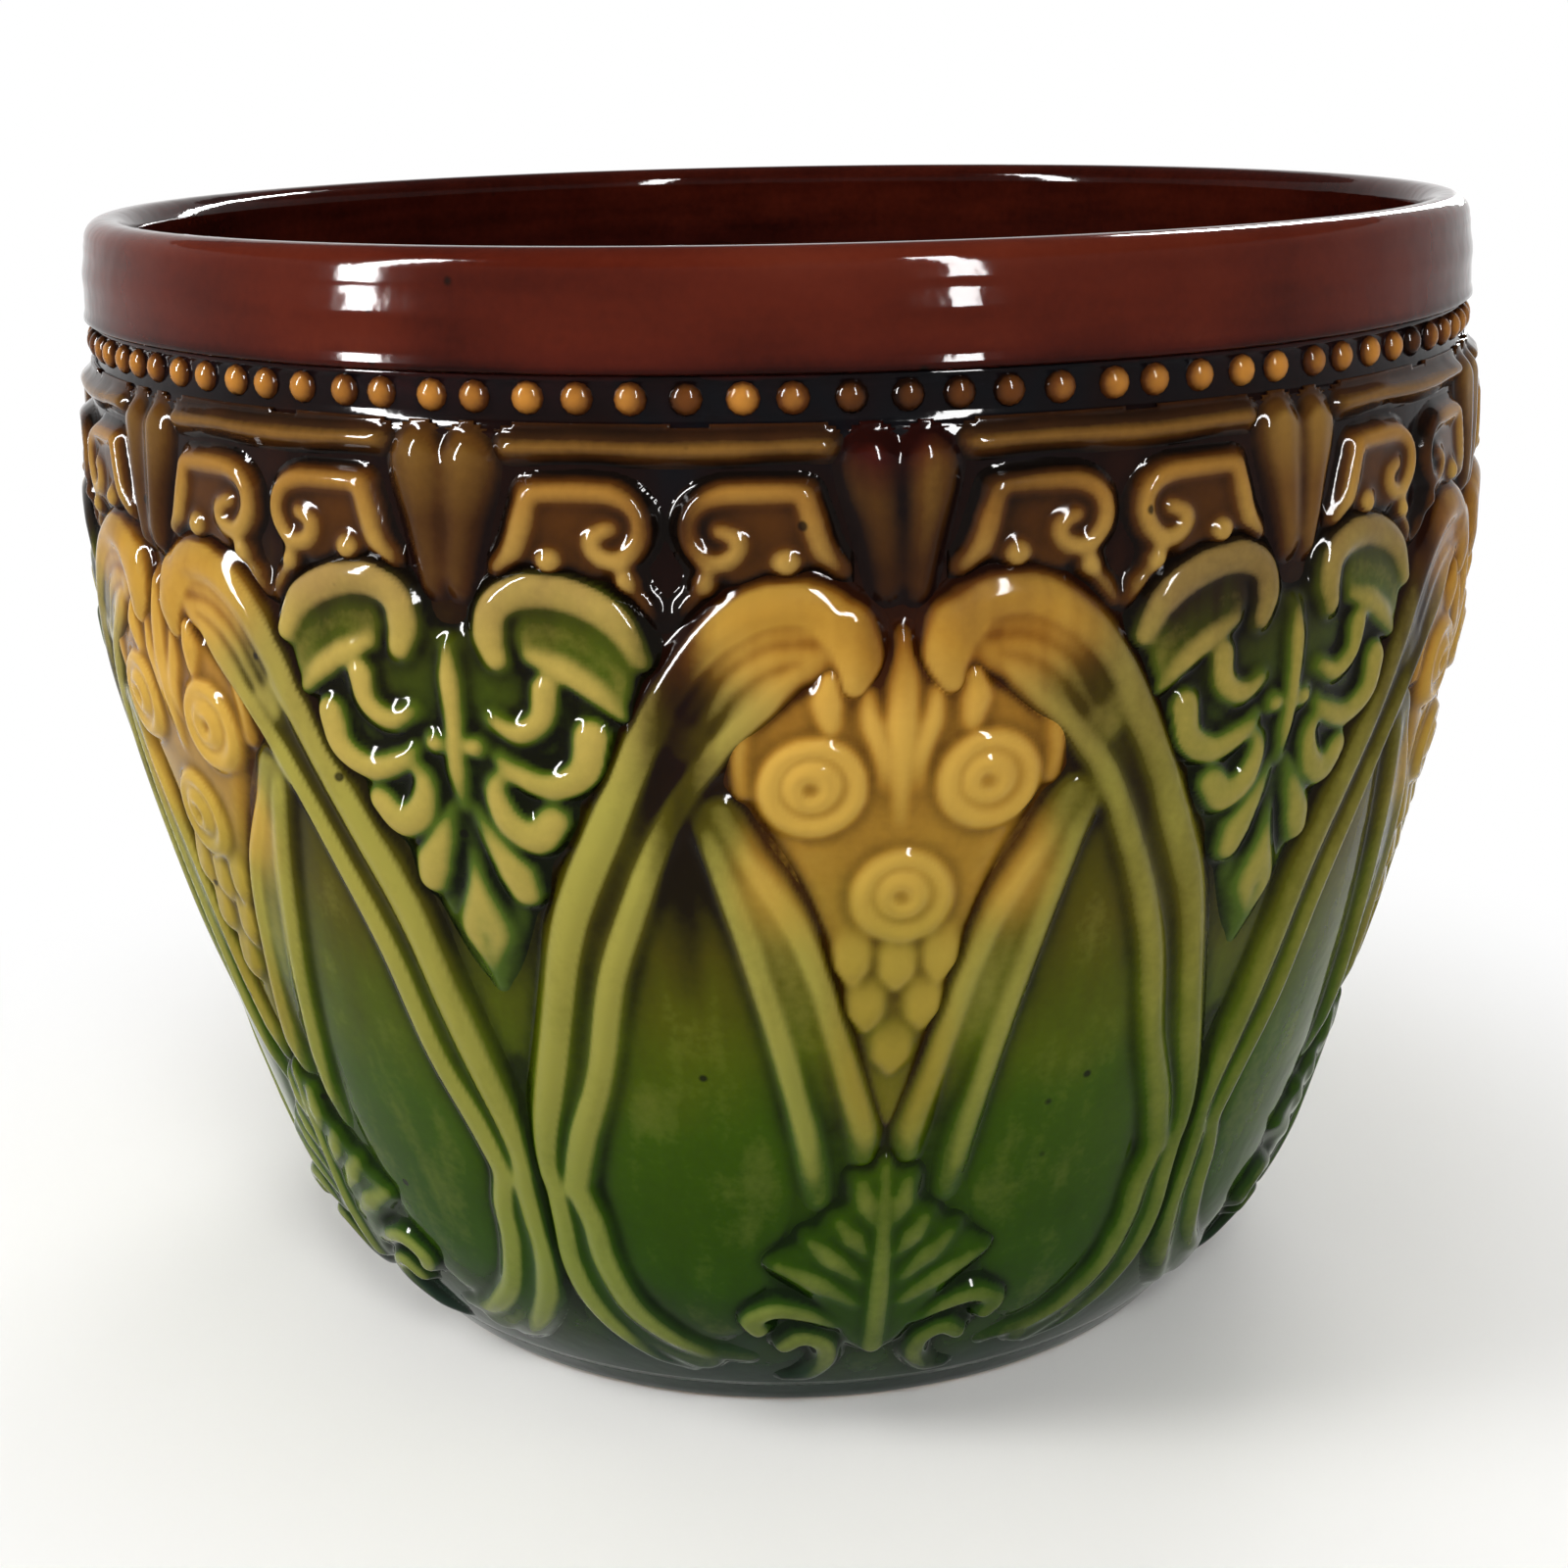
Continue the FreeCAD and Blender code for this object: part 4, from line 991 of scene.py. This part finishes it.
def throwBowl():
    b = bowl
    levels = np.concatenate((np.linspace(wall["base"][1], b["coveLow"], b["wallRows"])[:-1],
                             np.linspace(b["coveLow"], b["coveHigh"], b["coveRows"])))
    radius = arcRadius(outerArcs, levels)[0]
    share = np.clip((levels - b["coveLow"]) / (b["coveHigh"] - b["coveLow"]), 0, 1)
    # the sunk band behind the beads
    cove = b["coveDepth"] * np.clip(np.minimum(share, b["coveTop"] - share) / b["coveEdge"], 0, 1)
    outside = np.column_stack((radius - cove, levels))
    inLevels = np.linspace(wall["neck"][1], wall["floorLevel"], b["insideRows"])
    inside = np.column_stack((arcRadius(innerArcs, inLevels)[0], inLevels))
    brink = [(inside[0, 0] + corner, inLevels[0]), (inside[0, 0], inLevels[0]),
             (inside[0, 0], inLevels[0] - corner)]
    under = [(0.0, wall["base"][1]), (b["underRing"], wall["base"][1]),
             (wall["base"][0] - corner, wall["base"][1])]
    floor = [(r, wall["floorLevel"]) for r in np.linspace(wall["floorRadius"], 0, b["floorRows"])[1:]]
    piece, spots = turnPiece("bowl-wall", np.vstack((under, outside, brink, inside[1:], floor)), b["sides"],
                             wallGlaze, closed=False)
    mesh = piece.data
    angle, level = roundAngle(spots), spots[:, 2]
    out = np.hypot(spots[:, 0], spots[:, 1]) > arcRadius(outerArcs, np.clip(level, *levels[[0, -1]]))[0] - b["skin"]
    low, high = b["coveLow"], b["coveHigh"]
    sunk = np.clip((np.minimum(level - low, high - level) + b["fade"]) / b["fadeLength"], 0, 1)
    pool = np.where(out, np.maximum(fieldAt(poolField, angle, level), b["covePool"] * sunk), b["insidePool"])
    setLayers(mesh, pool=pool, honey=np.where(out, fieldAt(honeyField, angle, level), 0.0),
              run=np.where(out, runAt(angle, level), 0.0))
    mesh.materials.append(insideGlaze)
    mesh.materials.append(clay)
    centres = faceCentres(mesh)
    across = np.hypot(centres[:, 0], centres[:, 1])
    index = np.where(across < arcRadius(outerArcs, np.clip(centres[:, 2], *levels[[0, -1]]))[0] - b["skin"], 1,
                     0)
    index[centres[:, 2] < wall["base"][1] + 0.01] = 2
    mesh.polygons.foreach_set("material_index", index.astype(np.int32))
    settle(piece, "green_glaze", "bowl")


throwBowl()

collar = dict(sides=360, lipSteps=9, faceRows=16, swell=0.3, waver=0.1, flare=1.0, patches=50,
              dab=(-0.14, 0.22),
              foot=((-1.8, 0.0), (-0.5, 0.2), (0.1, 0.7), (0.0, 1.5)), waves=14, flareFall=9,
              pool=0.5, rimThin=0.22, rimDrop=1.5, rimWidth=2.2, baseThick=0.4, baseWidth=1.6, insideThick=0.35)


def throwCollar():
    low, top, lip = wall["neck"][1], pot["height"], pot["lipRadius"]
    outLow, outTop = wall["neck"][0] + pot["collarStep"], pot["rimRadius"]
    inLow, inTop = wall["neck"][0] - wall["thick"], pot["rimRadius"] - wall["thick"]
    c = collar
    start = c["foot"][-1][1]
    profile = [(inLow, low), (inLow + corner, low)] + [(outLow + across, low + up) for across, up in c["foot"]]
    for k in range(1, c["faceRows"]):
        share = k / c["faceRows"]
        flare = c["flare"] * math.exp(-c["flareFall"] * share) * share * c["flareFall"]
        bulge = c["swell"] * 4 * share * (1 - share) + c["waver"] * math.sin(c["waves"] * share) - flare
        profile.append((outLow + (outTop - outLow) * share + bulge,
                        low + start + (top - lip - low - start) * share))
    for k in range(collar["lipSteps"] + 1):
        turn = math.pi / 2 * k / collar["lipSteps"]
        profile.append((outTop - lip + lip * math.cos(turn), top - lip + lip * math.sin(turn)))
    for k in range(collar["lipSteps"] + 1):
        turn = math.pi / 2 * (1 - k / collar["lipSteps"])
        profile.append((inTop + lip - lip * math.cos(turn), top - lip + lip * math.sin(turn)))
    for k in range(1, collar["faceRows"]):
        share = k / collar["faceRows"]
        profile.append((inTop + (inLow - inTop) * share, top - lip + (low - top + lip) * share))
    profile.append((inLow, low + corner))
    piece, spots = turnPiece("rim-collar", profile, collar["sides"], collarGlaze, closed=True)
    across, level = np.hypot(spots[:, 0], spots[:, 1]), spots[:, 2]
    outer = across > outTop - lip
    edge = np.exp(-((top - c["rimDrop"] - level) / c["rimWidth"]) ** 2) * outer
    base = np.exp(-((level - low) / c["baseWidth"]) ** 2) * outer
    # dabs of the brush, one row low and one high on the face
    around = np.linspace(-180, 180, c["patches"] + 1)
    dabs = np.random.default_rng(3).uniform(*c["dab"], (2, c["patches"]))
    lowDab, highDab = (np.interp(roundAngle(spots), around, np.append(row, row[0])) for row in dabs)
    upper = np.clip((level - low) / (top - low), 0, 1)
    dabbed = np.where(outer, lowDab + (highDab - lowDab) * upper, c["insideThick"])
    pool = c["pool"] - c["rimThin"] * edge + c["baseThick"] * base + dabbed
    setLayers(piece.data, pool=pool, honey=np.zeros(len(spots)), run=np.zeros(len(spots)))
    settle(piece, "brown_glaze", "rim_collar")


throwCollar()

foot = dict(sides=240, edge=1.5, rows=(0.25, 0.5, 0.75, 0.97, 1.0), pool=0.5)


def throwFoot():
    outer, inner, high = pot["footRadius"], pot["footRadius"] - pot["footWidth"], wall["base"][1]
    e = foot["edge"]
    profile = [(inner, high), (inner, e), (inner + 0.4 * e, 0.4 * e), (inner + e, 0.0), (outer - e, 0.0),
               (outer - 0.2 * e, 0.3 * e)]
    profile += [(outer + (wall["base"][0] - outer) * share, high * share) for share in foot["rows"]]
    profile.append((wall["base"][0] - corner, high))
    piece, spots = turnPiece("foot-ring", profile, foot["sides"], wallGlaze, closed=True)
    setLayers(piece.data, pool=np.full(len(spots), foot["pool"]), honey=np.zeros(len(spots)),
              run=np.zeros(len(spots)))
    piece.data.materials.append(clay)
    centres = faceCentres(piece.data)
    across = np.hypot(centres[:, 0], centres[:, 1])
    index = np.where((across < outer - e) | (centres[:, 2] < 0.3 * e), 1, 0)
    piece.data.polygons.foreach_set("material_index", index.astype(np.int32))
    settle(piece, "bare_foot", "foot_ring")


throwFoot()
print("bowl, collar and foot turned")


# Beads and fillets: one pressed piece repeated round the neck by geometry nodes

def ringTree():
    tree = bpy.data.node_groups.new("ringOfCopies", "GeometryNodeTree")
    face = tree.interface
    face.new_socket("Piece", in_out="INPUT", socket_type="NodeSocketGeometry")
    inputs = {name: face.new_socket(name, in_out="INPUT", socket_type=kind).identifier
              for name, kind in (("Copies", "NodeSocketInt"), ("Uneven", "NodeSocketFloat"),
                                 ("Glaze", "NodeSocketMaterial"))}
    face.new_socket("Geometry", in_out="OUTPUT", socket_type="NodeSocketGeometry")
    entry = addNode(tree, "NodeGroupInput")
    spots = addNode(tree, "GeometryNodePoints", Count=entry.outputs["Copies"])
    step = addNode(tree, "ShaderNodeMath", {"operation": "DIVIDE", 0: 2 * math.pi},
                   in1=entry.outputs["Copies"]).outputs[0]
    index = addNode(tree, "GeometryNodeInputIndex").outputs[0]
    sway = addNode(tree, "FunctionNodeRandomValue", {"data_type": "FLOAT", "Seed": 7}, ID=index)
    off = addNode(tree, "ShaderNodeMath", {"operation": "SUBTRACT", 1: 0.5}, in0=sway.outputs[1]).outputs[0]
    place = addNode(tree, "ShaderNodeMath", dict(operation="MULTIPLY_ADD"), in0=off,
                    in1=entry.outputs["Uneven"], in2=index).outputs[0]
    angle = addNode(tree, "ShaderNodeMath", dict(operation="MULTIPLY"), in0=place, in1=step).outputs[0]
    turn = addNode(tree, "ShaderNodeCombineXYZ", Z=angle).outputs[0]
    ring = addNode(tree, "GeometryNodeInstanceOnPoints", Points=spots.outputs[0],
                   Instance=entry.outputs["Piece"], Rotation=turn)
    whole = addNode(tree, "GeometryNodeRealizeInstances", Geometry=ring.outputs[0])
    glazed = addNode(tree, "GeometryNodeSetMaterial", Geometry=whole.outputs[0],
                     Material=entry.outputs["Glaze"])
    leave = addNode(tree, "NodeGroupOutput")
    tree.links.new(glazed.outputs[0], leave.inputs[0])
    return tree, inputs


ring, ringInputs = ringTree()


def repeatRound(piece, copies, material, uneven=0.0):
    return baked(piece, ring, {ringInputs["Copies"]: copies, ringInputs["Uneven"]: uneven,
                               ringInputs["Glaze"]: material})


bead = dict(count=102, radius=2.85, gap=0.8, stand=-1.7, flat=0.8, rings=6, sides=12, start=0.6, uneven=0.14,
            wrap=0.6, thin=0.05, fall=2.2, dab=(-0.1, 0.16))


def pressBeads():
    level = wall["neck"][1] - bead["gap"] - bead["radius"]
    centre = arcRadius(outerArcs, np.array([level]))[0][0] + bead["stand"]
    points, pool = [(0, -centre - bead["flat"] * bead["radius"], level)], [bead["thin"]]
    for k in range(1, bead["rings"] + 1):
        swing = bead["wrap"] * math.pi * k / bead["rings"]
        across = bead["radius"] * math.sin(swing)
        for s in range(bead["sides"]):
            around = 2 * math.pi * s / bead["sides"]
            out = centre + bead["flat"] * bead["radius"] * math.cos(swing)
            points.append((across * math.cos(around), -out, level + across * math.sin(around)))
            # glaze thin on the crown and pooled towards the bead's edge, made steeper as painted shade on the
            # bead's sides
            pool.append(bead["thin"] + (1 - bead["thin"]) * (swing / (0.5 * math.pi)) ** bead["fall"])
    n = bead["sides"]
    faces = [(0, 1 + s, 1 + (s + 1) % n) for s in range(n)]
    for k in range(bead["rings"] - 1):
        a, b = 1 + k * n, 1 + (k + 1) * n
        faces += [(a + s, b + s, b + (s + 1) % n, a + (s + 1) % n) for s in range(n)]
    faces.append(tuple(1 + (bead["rings"] - 1) * n + s for s in reversed(range(n))))
    points = turned(np.asarray(points), bead["start"])
    piece = meshObject("bead-course", points, faces, amberGlaze, pool=pool, honey=np.zeros(len(pool)),
                       run=np.zeros(len(pool)))
    repeatRound(piece, bead["count"], amberGlaze, bead["uneven"])
    dabs = np.random.default_rng(5).uniform(*bead["dab"], bead["count"])
    copies = np.tile(pool, bead["count"]) + np.repeat(dabs, len(pool))
    spots = meshPoints(piece.data)
    setLayers(piece.data, pool=copies, run=runAt(roundAngle(spots), spots[:, 2]))
    settle(piece, "amber_glaze", "bead_course")


pressBeads()


def pressFilletCourse():
    middle = layout["fillet"][0][0]
    points, faces, layers = sprigShell(sprigs["fillet"], middle)
    piece = meshObject("fillet-course", turned(points, middle), faces, amberGlaze, run=np.zeros(len(points)),
                       **layers)
    settle(repeatRound(piece, 2 * panels, amberGlaze), "amber_glaze", "fillet_course")


pressFilletCourse()
print("bead and fillet courses set")


# Floor, light and camera

studio = dict(paper="#e6e5e2", sweepStart=1.3, sweepRadius=0.8, sweepTop=1.3, sweepSides=96, fadeNear=0.12,
              fadeFar=0.31, airStrength=0.2)


def layFloor():
    # pale paper that curves up all round: lit under the pot so that it keeps the shadow, plain white further off
    start, radius, sides = studio["sweepStart"], studio["sweepRadius"], studio["sweepSides"]
    path = [(start, 0.0)] + [(start + radius * math.sin(t), radius * (1 - math.cos(t)))
                             for t in np.linspace(0, math.pi / 2, 13)[1:]]
    path.append((start + radius, studio["sweepTop"]))
    around = np.linspace(0, 2 * math.pi, sides, endpoint=False)
    points = [(0.0, 0.0, 0.0)] + [(r * math.cos(a), r * math.sin(a), z) for r, z in path for a in around]
    faces = [(0, 1 + k, 1 + (k + 1) % sides) for k in range(sides)]
    for row in range(len(path) - 1):
        a, b = 1 + row * sides, 1 + (row + 1) * sides
        faces += [(a + k, b + k, b + (k + 1) % sides, a + (k + 1) % sides) for k in range(sides)]
    mesh = bpy.data.meshes.new("studioFloor")
    mesh.from_pydata(points, [], faces)
    mesh.polygons.foreach_set("use_smooth", np.ones(len(faces), bool))
    material = bpy.data.materials.new("paperSweep")       # matt white paper
    material.use_nodes = True
    tree = material.node_tree
    shader = tree.nodes["Principled BSDF"]
    shader.inputs["Base Color"].default_value = linear(studio["paper"])
    shader.inputs["Roughness"].default_value = 0.95
    shader.inputs["Specular IOR Level"].default_value = 0.1
    spot = addNode(tree, "ShaderNodeTexCoord").outputs["Object"]
    far = addNode(tree, "ShaderNodeVectorMath", dict(operation="LENGTH"), in0=spot).outputs["Value"]
    fade = addNode(tree, "ShaderNodeMapRange", {"interpolation_type": "SMOOTHSTEP",
                                                "From Min": studio["fadeNear"],
                   "From Max": studio["fadeFar"]}, Value=far).outputs[0]
    rays = addNode(tree, "ShaderNodeLightPath").outputs
    seen = addNode(tree, "ShaderNodeMath", dict(operation="MAXIMUM"), in0=rays["Is Camera Ray"],
                   in1=rays["Is Glossy Ray"]).outputs[0]
    seen = addNode(tree, "ShaderNodeMath", dict(operation="MAXIMUM"), in0=seen,
                   in1=rays["Is Transmission Ray"]).outputs[0]
    share = addNode(tree, "ShaderNodeMath", dict(operation="MULTIPLY"), in0=seen, in1=fade).outputs[0]
    white = addNode(tree, "ShaderNodeEmission", {"Color": linear("#ffffff"), "Strength": 1.0}).outputs[0]
    mixed = addNode(tree, "ShaderNodeMixShader", in0=share, in1=shader.outputs[0], in2=white)
    tree.links.new(mixed.outputs[0], tree.nodes["Material Output"].inputs["Surface"])
    mesh.materials.append(material)
    floor = bpy.data.objects.new("studioFloor", mesh)
    scene.collection.objects.link(floor)


def lightWorld():
    world = bpy.data.worlds.new("studioAir")
    world.use_nodes = True
    back = world.node_tree.nodes["Background"]
    back.inputs["Color"].default_value = linear("#ffffff")
    back.inputs["Strength"].default_value = studio["airStrength"]
    scene.world = world


# each window is a soft lamp for the colours and a brighter pane that only gleams in the glaze
lamps = (
    dict(name="windowLeft", spot=(-1.10, -0.25, 0.82), aim=(0, 0, 0.16), size=(0.4, 0.6), power=12.0,
         gleam=False),
    dict(name="windowFront", spot=(0.05, -1.27, 1.0), aim=(0, 0, 0.16), size=(0.4, 0.6), power=13.0,
         gleam=False),
    dict(name="ceiling", spot=(0.0, -0.2, 1.9), aim=(0, 0, 0.1), size=(1.4, 1.4), power=5.0, gleam=False),
    dict(name="fillBehind", spot=(0.55, 1.15, 1.0), aim=(0, 0, 0.16), size=(0.6, 0.6), power=7.0, gleam=False),
    dict(name="paneLeft", spot=(-1.07, -0.37, 0.74), aim=(0, 0, 0.18), size=(0.14, 0.95), power=118.0,
         gleam=True),
    dict(name="paneFront", spot=(0.43, -1.22, 0.87), aim=(0, 0, 0.18), size=(0.14, 0.95), power=95.0,
         gleam=True),
    dict(name="paneBehind", spot=(0.75, 1.05, 0.80), aim=(0, 0, 0.18), size=(0.16, 1.0), power=114.0,
         gleam=True),
)


def hangLamps():
    for lamp in lamps:
        light = bpy.data.lights.new(lamp["name"], "AREA")
        light.shape = "RECTANGLE"
        light.size, light.size_y = lamp["size"]
        light.energy = lamp["power"]
        item = bpy.data.objects.new(lamp["name"], light)
        item.location = lamp["spot"]
        item.rotation_euler = (Vector(lamp["aim"]) - Vector(lamp["spot"])).to_track_quat("-Z", "Y").to_euler()
        item.visible_diffuse, item.visible_glossy = not lamp["gleam"], lamp["gleam"]
        scene.collection.objects.link(item)


# The photograph's viewpoint, fitted to the rim, the beads and the outline
view = dict(distance=502.3, height=260.3, pitch=0.304, roll=-0.019, azimuth=-7.5, focal=2357.6, centre=803.4,
            image=1600)


def setCamera():
    camera = bpy.data.cameras.new("photoCamera")
    camera.sensor_width = 36.0
    camera.lens = view["focal"] / view["image"] * camera.sensor_width
    camera.shift_x = -(view["centre"] - view["image"] / 2) / view["image"]
    item = bpy.data.objects.new("photoCamera", camera)
    turn = math.radians(view["azimuth"])
    place = Matrix.Translation((view["distance"] * mm * math.sin(turn), -view["distance"] * mm * math.cos(turn),
                                view["height"] * mm))
    look = Matrix.Rotation(turn, 4, "Z") @ Matrix.Rotation(math.pi / 2 - view["pitch"], 4, "X")
    item.matrix_world = place @ look @ Matrix.Rotation(view["roll"], 4, "Z")
    scene.collection.objects.link(item)
    scene.camera = item


layFloor()
lightWorld()
hangLamps()
setCamera()
scene.view_settings.view_transform = "Standard"

bpy.context.view_layer.update()
print("studio set")
